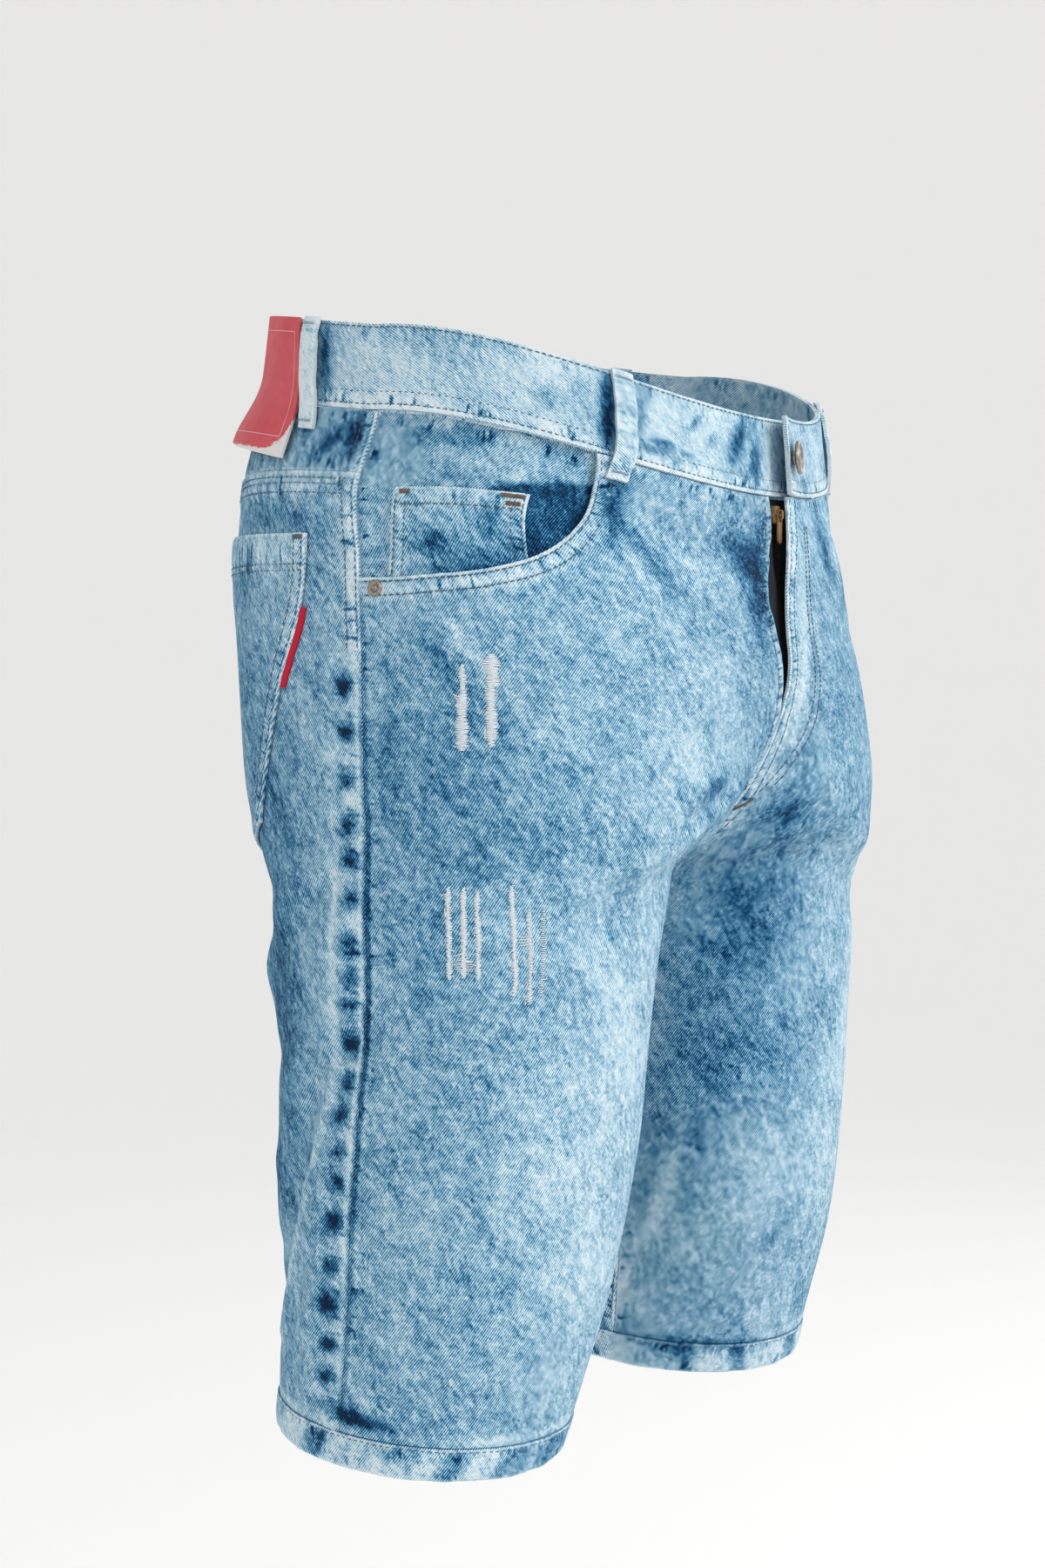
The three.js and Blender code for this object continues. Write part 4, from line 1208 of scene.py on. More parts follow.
POCKET_MOUTH = rounded(
    (
        (-113, -42.6), (-116, -55), (-118, -68), (-116, -80), (-108, -91), (-96, -101),
        (-81, -109), (-61, -116), (-41, -120), (-20, -123), (-0.15, -124),
    ),
    73,
)
SHARED_TOP_Z = -150.0
RISE_TOP_Z = -214.0
TOP_Z = -BAND_HEIGHT - BAND_SEAM


def shared_heights() -> Array:
    """Heights of the rows from the pocket's foot to the hem, closing up where the legs part."""
    body = np.linspace(SHARED_TOP_Z, RISE_TOP_Z, 21)[1:]
    rise = CROTCH_Z + (RISE_TOP_Z - CROTCH_Z) * (1 - np.linspace(0, 1, 25)[1:]) ** 2
    leg = mix(CROTCH_Z, PANEL_FOOT_Z, eased(86, start=False))[1:]
    return np.concatenate([body, rise, leg])


def edge_heights(top: float, step: float) -> Array:
    """Heights down a centre edge, close together where the legs part."""
    spans = ((top, -200, step), (-200, -280, -1.0), (-280, PANEL_FOOT_Z, -4))
    return np.concatenate([np.arange(*span) for span in spans])


def cut_size(u: Array, z: Array) -> tuple[tuple[float, float], float]:
    """Measure a piece laid flat.

    Args:
        u: its points' u, in mm.
        z: its points' height.

    Returns:
        The flat piece's width and length in metres, and its area in square metres.
    """
    a, b = u[:-1, :-1] - u[1:, 1:], z[:-1, :-1] - z[1:, 1:]
    c, d = u[:-1, 1:] - u[1:, :-1], z[:-1, 1:] - z[1:, :-1]
    area = float(np.abs(a * d - b * c).sum() / 2) * MM * MM
    width, length = float(np.ptp(u)) * MM, float(np.ptp(z)) * MM
    return (round(width, 4), round(length, 4)), round(min(area, 0.999 * width * length), 6)


@dataclass
class Panel:
    """A cut piece of cloth on one side of the garment, with its seams and its sewing."""

    side: int
    kind: str = "panel"
    slot: str = "denim"
    finish: Finish = Finish.DENIM
    thickness: float = CLOTH
    seed: float = 0.0
    washes_and_shade: Sequence[WashAndShade] = ()

    @property
    def side_name(self) -> str:
        """The side in words."""
        return SIDE_NAMES[self.side]

    @property
    def node(self) -> str:
        """The construction's node that the panel stands for."""
        return f"{self.kind}_{self.side_name}"

    def grid(self) -> tuple[Array, Array]:
        """The points' u and z, rows from the top down."""
        raise NotImplementedError

    def stand(self, u: Array, z: Array) -> Array:
        """How far out the panel lies before its seams lift it."""
        return np.zeros(np.shape(u))

    @cached_property
    def seams(self) -> tuple[Seam, ...]:
        """The panel's sewn edges."""
        return ()

    def height(self, u: Array, z: Array) -> Array:
        """How far out the finished cloth is at u, z."""
        return self.stand(u, z) + lifted(self.seams, u, z)

    def tone(self, u: Array, z: Array) -> Array:
        """How much paler or darker the cloth is painted at u, z, by its dye marks and its painted shade and
        shadow.
        """
        total = np.zeros(np.shape(u))
        # The marks summed here hold painted shade and painted shadow as well as dye.
        for wash in self.washes_and_shade:
            if wash.side in (self.side, BOTH):
                total = total + wash.at(u, z)
        return total

    def build(self) -> bpy.types.Object:
        """Make the panel and let it stand for its node."""
        u, z = self.grid()
        wall = Wall(
            f"cloth_{self.node}", self.side, u, z, self.stand(u, z), self.thickness, self.seams,
            self.seed + 11.3 * (self.side + 1), self.tone(u, z),
        )
        flat, area = cut_size(u, z)
        sheet = {"flat": flat, "area": area, "rests_on": [self.rests_on]}
        return put_on(wall.build(), self.node, self.slot, (self.finish, Finish.REVERSE), **sheet)

    @property
    def rests_on(self) -> str:
        """What holds the panel up."""
        return "cloth_waistband"

    def sew(self, threads: Threads) -> None:
        """Sew every seam's rows of stitches."""
        for seam in self.seams:
            for row in seam.rows:
                threads.row(self.side, seam.row(row, *seam.ends), self.height)


@dataclass
class FrontPanel(Panel):
    """A front: from the band and the pocket mouth down to the hem, with its edge of the fly."""

    kind: str = "front"
    waist_columns: int = 58
    mouth_columns: int = 72
    mouth_share: float = 0.46
    upper_rows: int = 48

    def fly_edge(self, z: Array) -> Array:
        """How far this front's edge lies from the centre front."""
        column = "right" if self.side == RIGHT else "left"
        return np.where(z < FLY_FOOT_Z, SEAM_GAP / 2, FLY.at(column, z))

    def edge(self, z: Array) -> Array:
        """The u of the fly's edge, and below it of the rise and the inseam."""
        return DRAFT.edge(self.side, -1, z) + self.fly_edge(z)

    def stand(self, u: Array, z: Array) -> Array:
        """The left flap stands off the fly."""
        if self.side == RIGHT:
            return np.zeros(np.shape(u))
        bend = 1 - smooth(0, FLAP_BEND, u - self.edge(z))
        return np.where(z < FLY_FOOT_Z, 0, FLY.at("stand", z) * bend)

    def grid(self) -> tuple[Array, Array]:
        """The points' u and z, rows from the top down."""
        edge_top = self.edge(np.array(TOP_Z))
        corner = (POCKET_MOUTH[0, 0] - edge_top) / (-SEAM_GAP / 2 - edge_top)
        t = eased(self.waist_columns, end=False)[:-1]
        mouth = evenly(POCKET_MOUTH, 400)[(eased(self.mouth_columns, start=False) * 399).round().astype(int)]
        mouth_edge = self.edge(mouth[:, 1])
        share = np.minimum((mouth[:, 0] - mouth_edge) / (-SEAM_GAP / 2 - mouth_edge), 1)
        top_share = np.concatenate([t * corner, share])
        top_z = np.concatenate([np.full(len(t), TOP_Z), mouth[:, 1]])
        below = mix(self.mouth_share, 1, eased(self.mouth_columns, start=False))
        foot = np.concatenate([t * self.mouth_share, below])
        down = eased(self.upper_rows, end=False)[:, None]
        lower = shared_heights()[:, None]
        shares = np.vstack([mix(top_share, foot, down), np.broadcast_to(foot, (len(lower), len(foot)))])
        z = np.vstack([mix(top_z, SHARED_TOP_Z, down), np.broadcast_to(lower, (len(lower), len(foot)))])
        return mix(self.edge(z), -SEAM_GAP / 2, shares), z

    @cached_property
    def seams(self) -> tuple[Seam, ...]:
        """The pocket mouth, the waist, the fly, the rise, the inseam and the side seam."""
        heights = edge_heights(TOP_Z, -2.0)
        edge = np.stack([self.edge(heights), heights], -1)
        fly, inseam = edge[heights > -272], edge[heights <= -272]
        side = straight((0, PANEL_FOOT_Z), (0, -124), 60)
        waist = straight((-113, TOP_Z), (self.edge(np.array(TOP_Z)), TOP_Z), 30)
        found = [
            Seam(POCKET_MOUTH[::-1], (2.0, 8.6), 0.75, 10.5, 0.3, 0.9, 3),
            Seam(waist, (), 0.0, 6, 0.3, 0.9, 5, edge=False),
            Seam(side, (), 0.0, 7, 0.3, 0.6, 7, edge=False),
            Seam(inseam, (), 0.2, 7, 0.3, 0.7, 9),
        ]
        if self.side == RIGHT:
            found.append(Seam(fly, (6.5,), 0.3, 8, 0.3, 0.7, 11, ends=(4, 66)))
        else:
            found.append(Seam(fly, (2.0, 8.4), 0.6, 9.5, 0.25, 0.8, 13, ends=(1, 2)))
        return tuple(found)

    def fly_curve(self) -> Array:
        """The left front's curved row that holds the fly's facing."""
        points = (
            (19, -60), (19, -90), (19, -117), (23, -145), (26, -167), (26.5, -182), (25, -200), (18, -218),
            (8, -238),
        )
        line = rounded(points, 60)
        return np.stack([DRAFT.edge(LEFT, -1, line[:, 1]) + line[:, 0] + 2, line[:, 1]], -1)

    def sew(self, threads: Threads) -> None:
        """Sew the seams and, on the left, the fly's curve."""
        super().sew(threads)
        if self.side == LEFT:
            curve = self.fly_curve()
            threads.row(LEFT, curve, self.height)
            threads.row(LEFT, curve + (6.0, 0.5), self.height)


YOKE_SIDE = 31.0
YOKE_EXTRA = 31.0
YOKE_POWER = 1.8


def yoke_z(share: Array) -> Array:
    """The height of the yoke seam, at shares of the way from the side seam to the centre back."""
    return -BAND_HEIGHT - YOKE_SIDE - YOKE_EXTRA * share**YOKE_POWER


def back_u(side: int, share: Array, z: Array) -> Array:
    """The u at a share of the way from the side seam to the centre back."""
    return mix(SEAM_GAP / 2, DRAFT.edge(side, 1, z) - SEAM_GAP / 2, share)


@dataclass
class Yoke(Panel):
    """The shaped strip between the band and the back."""

    kind: str = "yoke"
    columns: int = 110
    rows: int = 18

    def grid(self) -> tuple[Array, Array]:
        """The points' u and z, rows from the top down."""
        share = eased(self.columns)[None, :]
        z = mix(TOP_Z, yoke_z(share) + SEAM_GAP, eased(self.rows)[:, None])
        return back_u(self.side, np.broadcast_to(share, z.shape), z), z

    @cached_property
    def seams(self) -> tuple[Seam, ...]:
        """The side, the band, the yoke seam and the seat."""
        share = np.linspace(0, 1, 50)
        foot = yoke_z(share)
        side = straight((0, TOP_Z), (0, foot[0]), 20)
        lower = np.stack([back_u(self.side, share, foot), foot], -1)
        waist = np.stack([back_u(self.side, share, np.full(50, TOP_Z)), np.full(50, TOP_Z)], -1)[::-1]
        return (
            Seam(side, (2.0, 8.0), 0.7, 9.5, 0.25, 0.8, 15),
            Seam(waist, (), 0.0, 6, 0.3, 0.9, 17, edge=False),
            Seam(lower, (), 0.0, 5, 0.25, 0.7, 19),
        )


@dataclass
class BackPanel(Panel):
    """A back, from the yoke down to the hem."""

    kind: str = "back"
    columns: int = 108

    def grid(self) -> tuple[Array, Array]:
        """The points' u and z, rows from the top down."""
        share = eased(self.columns)[None, :]
        upper = mix(yoke_z(share), SHARED_TOP_Z, eased(32, end=False)[:, None])
        lower = np.broadcast_to(shared_heights()[:, None], (len(shared_heights()), share.shape[1]))
        z = np.vstack([upper, lower])
        return back_u(self.side, np.broadcast_to(share, z.shape), z), z

    @cached_property
    def seams(self) -> tuple[Seam, ...]:
        """The yoke seam with its three rows, the side, the seat and the inseam."""
        share = np.linspace(0, 1, 60)
        top = np.stack([back_u(self.side, share, yoke_z(share)), yoke_z(share)], -1)[::-1]
        welt = straight((0, -73), (0, -162), 30)
        side = straight((0, -162), (0, PANEL_FOOT_Z), 60)
        heights = edge_heights(-104, -4.0)
        middle = np.stack([DRAFT.edge(self.side, 1, heights), heights], -1)
        seat, inseam = middle[heights > -274][::-1], middle[heights <= -274][::-1]
        return (
            Seam(top, (3.4, 6.2, 10.6), 0.7, 12.0, 0.28, 0.7, 21),
            Seam(welt, (2.0, 8.0), 0.7, 9.5, 0.25, 0.8, 23),
            Seam(side, (), 0.5, 10, 0.45, 0.5, 25, edge=False),
            Seam(seat, (2.0, 8.0) if self.side == LEFT else (), 0.6, 9.5, 0.3, 0.8, 27),
            Seam(inseam, (2.0, 8.0), 0.6, 9.5, 0.3, 0.8, 29),
        )


@dataclass
class Hem(Panel):
    """The leg's edge, turned up twice: a closed band that ropes as it is worn."""

    kind: str = "hem"
    thickness: float = 2.4

    def grid(self) -> tuple[Array, Array]:
        """The points' u and z, rows from the top down."""
        z = mix(PANEL_FOOT_Z - SEAM_GAP, HEM_Z, eased(12))[:, None]
        front, back = DRAFT.edge(self.side, -1, z), DRAFT.edge(self.side, 1, z)
        share = np.linspace(0, 1, 250)[None, :]
        return mix(front, back, share), np.broadcast_to(z, (len(z), share.shape[1]))

    def stand(self, u: Array, z: Array) -> Array:
        """The band stands out and its edge twists in slanting ropes."""
        down = (PANEL_FOOT_Z - z) / HEM_HEIGHT
        swell = 0.9 * np.sin(np.pi * np.clip(down, 0, 1)) ** 0.6
        rope = ripple(u + 0.9 * (z - HEM_Z) + 400, 7.5, 31 + self.side) * smooth(0.05, 0.6, down)
        return HEM_OUT + swell - 0.5 + 0.55 * rope

    def tone(self, u: Array, z: Array) -> Array:
        """Rubbed pale, with upright dark blots where the rope dips."""
        dips = np.maximum(ripple(u + 0.5 * (z - HEM_Z) + 400, 15, 77 + self.side) - 0.15, 0)
        fine = np.maximum(ripple(u + 0.3 * (z - HEM_Z) + 90, 5.5, 79 + self.side) - 0.4, 0)
        down = (PANEL_FOOT_Z - z) / HEM_HEIGHT
        blots = (0.85 * dips + 0.3 * fine) * smooth(0, 0.2, down) * (1.15 - 0.5 * down)
        return super().tone(u, z) + 0.28 - blots - 0.6 * (1 - smooth(0, 0.06, down))

    @cached_property
    def seams(self) -> tuple[Seam, ...]:
        """The hem's row of stitches and its worn edge."""
        share = np.linspace(0, 1, 90)
        lines = []
        for z in (PANEL_FOOT_Z - SEAM_GAP, HEM_Z):
            u = mix(float(DRAFT.edge(self.side, -1, z)), float(DRAFT.edge(self.side, 1, z)), share)
            lines.append(np.stack([u, np.full(90, z)], -1))
        return (
            Seam(lines[0][::-1], (1.8,), 0.0, 4, 0.3, 0.6, 33, edge=False),
            Seam(lines[1], (), 0.0, 4, 0.2, 0.6, 35),
        )

    @property
    def rests_on(self) -> str:
        """What holds the hem up."""
        return f"cloth_front_{self.side_name}"


BAND_RIGHT_END = -20.0
BAND_LEFT_END = -14.0
BAND_STAND = 4.5
BAND_BEND = 64.0
BAND_TUCK = 0.8
FLARE_HEIGHT = 8.0
FLARE_START = 20.0
FLARE_LENGTH = 36.0


def band_flare(from_centre: Array) -> Array:
    """How far the band's left end flares away from the body at its tip."""
    return FLARE_HEIGHT * np.maximum((FLARE_START - from_centre) / FLARE_LENGTH, 0) ** 2


@dataclass
class Waistband(Panel):
    """One doubled strip from the right end, under the flap, round the back to the left end."""

    kind: str = "waistband"
    finish: Finish = Finish.BAND
    flat: tuple[float, float] = (1.04, 0.042)
    thickness: float = 2.6
    columns: int = 230

    @property
    def node(self) -> str:
        """The construction's node that the band stands for."""
        return self.kind

    @property
    def rests_on(self) -> str:
        """The wearer holds the band; its loops rest on it."""
        return "cloth_belt_loop_centre"

    def out_at(self, side: int, from_centre: Array) -> Array:
        """How far out one side's band lies, at distances from the centre front."""
        if side == LEFT:
            return BAND_OUT + BAND_STAND * (1 - smooth(0, BAND_BEND, from_centre)) + band_flare(from_centre)
        return BAND_OUT - BAND_TUCK * (1 - smooth(BAND_RIGHT_END, 20, from_centre))

    def side_seams(self, side: int) -> tuple[Seam, ...]:
        """The seams of one side's half: top, foot and end."""
        end = BAND_RIGHT_END if side == RIGHT else BAND_LEFT_END
        lines = [
            straight((float(DRAFT.edge(side, -1, z)) + end, z), (DRAFT.edge(side, 1, z), z), 120)
            for z in (0.0, -BAND_HEIGHT)
        ]
        closing = np.stack([[lines[0][0, 0], lines[1][0, 0]], [0.0, -BAND_HEIGHT]], -1)
        return (
            Seam(lines[0][::-1], (1.6,), 0.0, 4, 0.12, 0.5, 41 + side),
            Seam(lines[1], (2.6, 8.8), 0.3, 2, 0.16, 1.2, 43 + side, edge=False),
            Seam(evenly(closing, 12), (2.2,), 0.0, 4, 0.1, 0.7, 45 + side),
        )

    def height_on(self, side: int) -> Height:
        """The finished band's height on one side."""

        def height(u: Array, z: Array) -> Array:
            """How far out the band is at u, z."""
            return self.out_at(side, u - DRAFT.edge(side, -1, z)) + lifted(self.side_seams(side), u, z)

        return height

    def build(self) -> bpy.types.Object:
        """Make the band out of its two sides, in one grid."""
        z = mix(0.0, -BAND_HEIGHT, eased(24))[:, None]
        halves = {}
        for side, end in ((RIGHT, BAND_RIGHT_END), (LEFT, BAND_LEFT_END)):
            front, back = DRAFT.edge(side, -1, z) + end, DRAFT.edge(side, 1, z)
            share = eased(self.columns, end=False, ease=0.75)[None, :]
            u = mix(front, back, share)
            halves[side] = (u, np.broadcast_to(z, u.shape), self.out_at(side, u - DRAFT.edge(side, -1, z)))
        right, left = halves[RIGHT], halves[LEFT]
        grids = [np.hstack([r, l[:, -2::-1]]) for r, l in zip(right, left)]
        side = np.hstack([np.full(right[0].shape, RIGHT), np.full(left[0][:, 1:].shape, LEFT)])
        tone = np.zeros(side.shape)
        # The band's marks include painted shadows beside the loops and under the left end, as well as dye.
        for wash in self.washes_and_shade:
            tone += np.where((side == wash.side) | (wash.side == BOTH), wash.at(*grids[:2]), 0)
        wall = BandWall("cloth_waistband", side, *grids, self.thickness, tone=tone, band=self)
        finishes = (self.finish, Finish.BAND)
        return put_on(wall.build(), self.node, self.slot, finishes, flat=self.flat, rests_on=[self.rests_on])

    def sew(self, threads: Threads) -> None:
        """Sew each side's rows."""
        for side in (RIGHT, LEFT):
            for seam in self.side_seams(side):
                for row in seam.rows:
                    threads.row(side, seam.row(row, 0.5, 0.5), self.height_on(side))


@dataclass
class BandWall(Wall):
    """The band's wall, whose seams differ by side."""

    band: Waistband | None = None

    def relief(self) -> tuple[Array, Array]:
        """Measure the seams of each side."""
        rise = np.zeros(self.u.shape)
        nearest = np.zeros((*self.u.shape, 3))
        for side in (RIGHT, LEFT):
            here = self.side == side
            part = Wall("", side, self.u[here], self.z[here], 0.0, seams=self.band.side_seams(side))
            rise[here], nearest[here] = part.relief()
            self.tone[here] += part.tone
        return rise, nearest


FACING_WIDTH = 128.0
FACING_DEPTH = 95.0
FACING_START = -122.0
FACING_OUT = -4.1
FACING_SIDE_RISE = 1.7
FACING_POWER = 2.6


@dataclass
class Facing(Panel):
    """The cloth that shows inside a front pocket's mouth, unbleached where the pocket covered it."""

    kind: str = "pocket_facing"
    slot: str = "dark_denim"

    def grid(self) -> tuple[Array, Array]:
        """The points' u and z, rows from the top down."""
        u = mix(FACING_START, -SEAM_GAP / 2, np.linspace(0, 1, 52))[None, :]
        depth = FACING_DEPTH * (1 - (-u / FACING_WIDTH) ** FACING_POWER) ** (1 / FACING_POWER)
        z = TOP_Z - np.linspace(0, 1, 40)[:, None] * depth
        return np.broadcast_to(u, z.shape), z

    def stand(self, u: Array, z: Array) -> Array:
        """It lies behind the mouth, and comes forward to the side seam."""
        return FACING_OUT + FACING_SIDE_RISE * smooth(-13, -1, u)

    @cached_property
    def seams(self) -> tuple[Seam, ...]:
        """The side and the band."""
        side = straight((0, -124), (0, TOP_Z), 30)
        waist = straight((0, TOP_Z), (-118, TOP_Z), 30)
        return (
            Seam(side, (), 0.0, 5, 0.2, 0.9, 47, edge=False),
            Seam(waist, (), 0.0, 6, 0.25, 0.9, 49, edge=False),
        )

    def tone(self, u: Array, z: Array) -> Array:
        """Bleached above the coin pocket, dark where the front covered the cloth."""
        fold = -58 - (u + 112) * 0.27
        hidden = smooth(-1.5, 2.5, fold - z)
        return super().tone(u, z) - 0.5 * hidden * smooth(62, 74, -u)


@dataclass
class CoinPocket(Panel):
    """The small pocket on the right facing."""

    kind: str = "coin_pocket"
    top_left: tuple[float, float] = (-20.5, -79.0)
    top_right: tuple[float, float] = (-88.5, -72.0)
    foot_left: tuple[float, float] = (-13.5, -130.0)
    foot_right: tuple[float, float] = (-87.5, -124.0)
    out: float = -2.4

    @property
    def node(self) -> str:
        """The construction's node that the pocket stands for."""
        return self.kind

    def corner(self, across: Array, down: Array) -> tuple[Array, Array]:
        """The u and z at shares across and down the pocket."""
        tops = [mix(a, b, across) for a, b in zip(self.top_left, self.top_right)]
        feet = [mix(a, b, across) for a, b in zip(self.foot_left, self.foot_right)]
        u, z = (mix(top, foot, down) for top, foot in zip(tops, feet))
        return u, z

    def grid(self) -> tuple[Array, Array]:
        """The points' u and z, rows from the top down."""
        return self.corner(eased(44)[None, :], eased(32)[:, None])

    def stand(self, u: Array, z: Array) -> Array:
        """It lies on the facing."""
        return np.full(np.shape(u), self.out)

    @cached_property
    def seams(self) -> tuple[Seam, ...]:
        """The doubled top and the two sewn sides."""
        share = np.linspace(0, 1, 24)
        top = np.stack(self.corner(share, np.zeros(24)), -1)
        left = np.stack(self.corner(np.zeros(24), share), -1)[::-1]
        right = np.stack(self.corner(np.ones(24), share), -1)
        return (
            Seam(top, (8.5,), 0.5, 9.5, 0.3, 0.7, 51),
            Seam(left, (2.0, 7.4), 0.3, 8.5, 0.2, 0.5, 53, ends=(8, 2)),
            Seam(right, (2.0, 7.4), 0.3, 8.5, 0.2, 0.5, 55, ends=(2, 8)),
        )


POCKET_OUTER = Profile("z u", ((-104, 31), (-139, 36.5), (-177, 54), (-219, 70), (-246, 82)))


@dataclass
class BackPocket(Panel):
    """A patch pocket on the back: its outer edge slants in, and its foot is blunt."""

    kind: str = "back_pocket"
    thickness: float = 1.1
    top_z: tuple[float, float] = (-104.0, -113.0)
    foot_z: tuple[float, float, float] = (-246.0, -268.0, -253.0)
    inner_u: tuple[float, float] = (184.0, 173.0)
    point: float = 0.5
    out: float = 1.85

    def corner(self, across: Array, down: Array) -> tuple[Array, Array]:
        """The u and z at shares across and down the pocket."""
        across, down = np.broadcast_arrays(across, down)
        outer_z = mix(self.top_z[0], self.foot_z[0], down)
        u = mix(POCKET_OUTER.at("u", outer_z), mix(*self.inner_u, down), across)
        foot = np.interp(across, (0, self.point, 1), self.foot_z)
        return u, mix(mix(*self.top_z, across), foot, down)

    def grid(self) -> tuple[Array, Array]:
        """The points' u and z, rows from the top down."""
        return self.corner(eased(76)[None, :], eased(80)[:, None])

    def stand(self, u: Array, z: Array) -> Array:
        """It lies on the back, a little full in the middle."""
        full = smooth(0, 40, u - POCKET_OUTER.at("u", z)) * smooth(0, 40, 184 - u) * smooth(0, 40, -104 - z)
        return self.out + 0.9 * full * smooth(0, 50, z + 260)

    @cached_property
    def seams(self) -> tuple[Seam, ...]:
        """The doubled top and the sewn outline."""
        share = np.linspace(0, 1, 40)
        top = np.stack(self.corner(share, np.zeros(40)), -1)[::-1]
        outer = np.stack(self.corner(np.zeros(40), share), -1)
        foot = np.stack(self.corner(share, np.ones(40)), -1)
        inner = np.stack(self.corner(np.ones(40), share), -1)[::-1]
        return (
            Seam(top, (14.6, 17.6), 0.55, 18.5, 0.25, 0.8, 61),
            Seam(outer, (2.0, 7.6), 0.35, 8.5, 0.25, 0.7, 63, ends=(1, 3)),
            Seam(foot, (2.0, 7.6), 0.35, 8.5, 0.25, 0.7, 65, ends=(3, 3)),
            Seam(inner, (2.0, 7.6), 0.35, 8.5, 0.25, 0.7, 67, ends=(3, 1)),
        )

    @property
    def rests_on(self) -> str:
        """What the pocket is sewn to."""
        return f"cloth_back_{self.side_name}"

    def sew(self, threads: Threads) -> None:
        """Sew the seams and the bartacks at the mouth's ends."""
        super().sew(threads)
        threads.tack(self.side, (33, -106), (39.5, -106.6), self.height)
        threads.tack(self.side, (182, -115), (175, -114.4), self.height)


@dataclass
class EdgeStrip:
    """A plain folded strip of red binding caught in the right back pocket's outer edge."""

    top_z: float = -139.5
    foot_z: float = -178.5
    width: float = 3.4
    out: float = 1.7

    def build(self) -> bpy.types.Object:
        """Make the strip: one leaf folded on itself, its fold to the side seam."""
        z = np.linspace(self.top_z, self.foot_z, 40)[:, None]
        share = np.linspace(0, 1, 9)[None, :]
        u = POCKET_OUTER.at("u", z) + 0.4 - (self.width + 0.4) * share + 0.25 * ripple(z, 6, 3)
        bulge = 0.55 * np.sqrt(np.clip(1 - (2 * share - 1) ** 4, 0, 1))
        out = self.out + bulge - 0.5 + 0.25 * ripple(z, 9, 5) * share
        z = np.broadcast_to(z, u.shape)
        made = Wall("cloth_edge_strip", RIGHT, u, z, out, 0.9, seed=4.0).build()
        sheet = {"flat": (0.01, 0.04), "area": 0.0002, "rests_on": ["cloth_back_pocket_right"]}
        return put_on(made, "pocket_edge_strip", "binding", [Finish.BINDING] * 2, **sheet)


LOOP_WIDTH = 11.5
LOOP_FRONT_U = -126.0
LOOP_BACK_U = 43.0


@dataclass
class BeltLoop:
    """A folded strip, sewn down under the band's top edge and on the cloth below it."""

    name: str
    side: int
    middle: Callable[[Array], Array]
    seed: int = 0
    thickness: float = 2.0
    route: Profile = Profile(
        "z out", ((1.2, 3.4), (-1, 3.9), (-8, 5.3), (-24, 6.6), (-36, 6.0), (-44, 4.8), (-54, 3.0))
    )
    top_z: float = 1.2
    foot_z: float = -54.0

    def spot(self, across: Array, z: Array) -> tuple[Array, Array]:
        """The u and out of a place across the loop, from -0.5 to 0.5."""
        u = self.middle(z) + LOOP_WIDTH * across + 0.35 * ripple(z, 8, self.seed)
        edges = 0.45 * np.exp(-(((0.5 - np.abs(across)) / 0.09) ** 2))
        ridge = 0.35 * np.exp(-((across / 0.16) ** 2))
        wave = 0.35 * ripple(z + 40 * across, 4, self.seed + 5)
        return u, self.route.at("out", z) + ridge - edges + wave

    def height(self, u: Array, z: Array) -> Array:
        """How far out the loop's face is at u, z."""
        return self.spot((u - self.middle(z)) / LOOP_WIDTH, z)[1]

    def build(self) -> bpy.types.Object:
        """Make the loop."""
        z = mix(self.top_z, self.foot_z, eased(56))[:, None]
        across = (eased(14) - 0.5)[None, :]
        u, out = self.spot(across, z)
        z = np.broadcast_to(z, u.shape)
        edges = np.exp(-(((0.5 - np.abs(across)) / 0.14) ** 2))
        ends = np.exp(-(((z - self.foot_z) / 2.5) ** 2)) + np.exp(-(((z - self.top_z) / 2.5) ** 2))
        tone = 0.22 + 0.08 * edges + 0.2 * ends - 0.2 * (ripple(z, 6, self.seed + 9) > 0.7)
        name, seed = f"cloth_{self.name}", 60.0 + self.seed
        wall = Wall(name, self.side, u, z, out, self.thickness, seed=seed, tone=tone)
        sheet = {"flat": (0.0145, 0.062), "area": 0.0008, "rests_on": ["cloth_waistband"]}
        return put_on(wall.build(), self.name, "denim", [Finish.BAND] * 2, **sheet)

    def sew(self, threads: Threads) -> None:
        """Sew a thin bartack near each end of the loop."""
        for at in (-2.2, -50.5):
            u = float(self.middle(np.array(at)))
            threads.tack(self.side, (u - 4.2, at), (u + 4.2, at), self.height, 1.1)


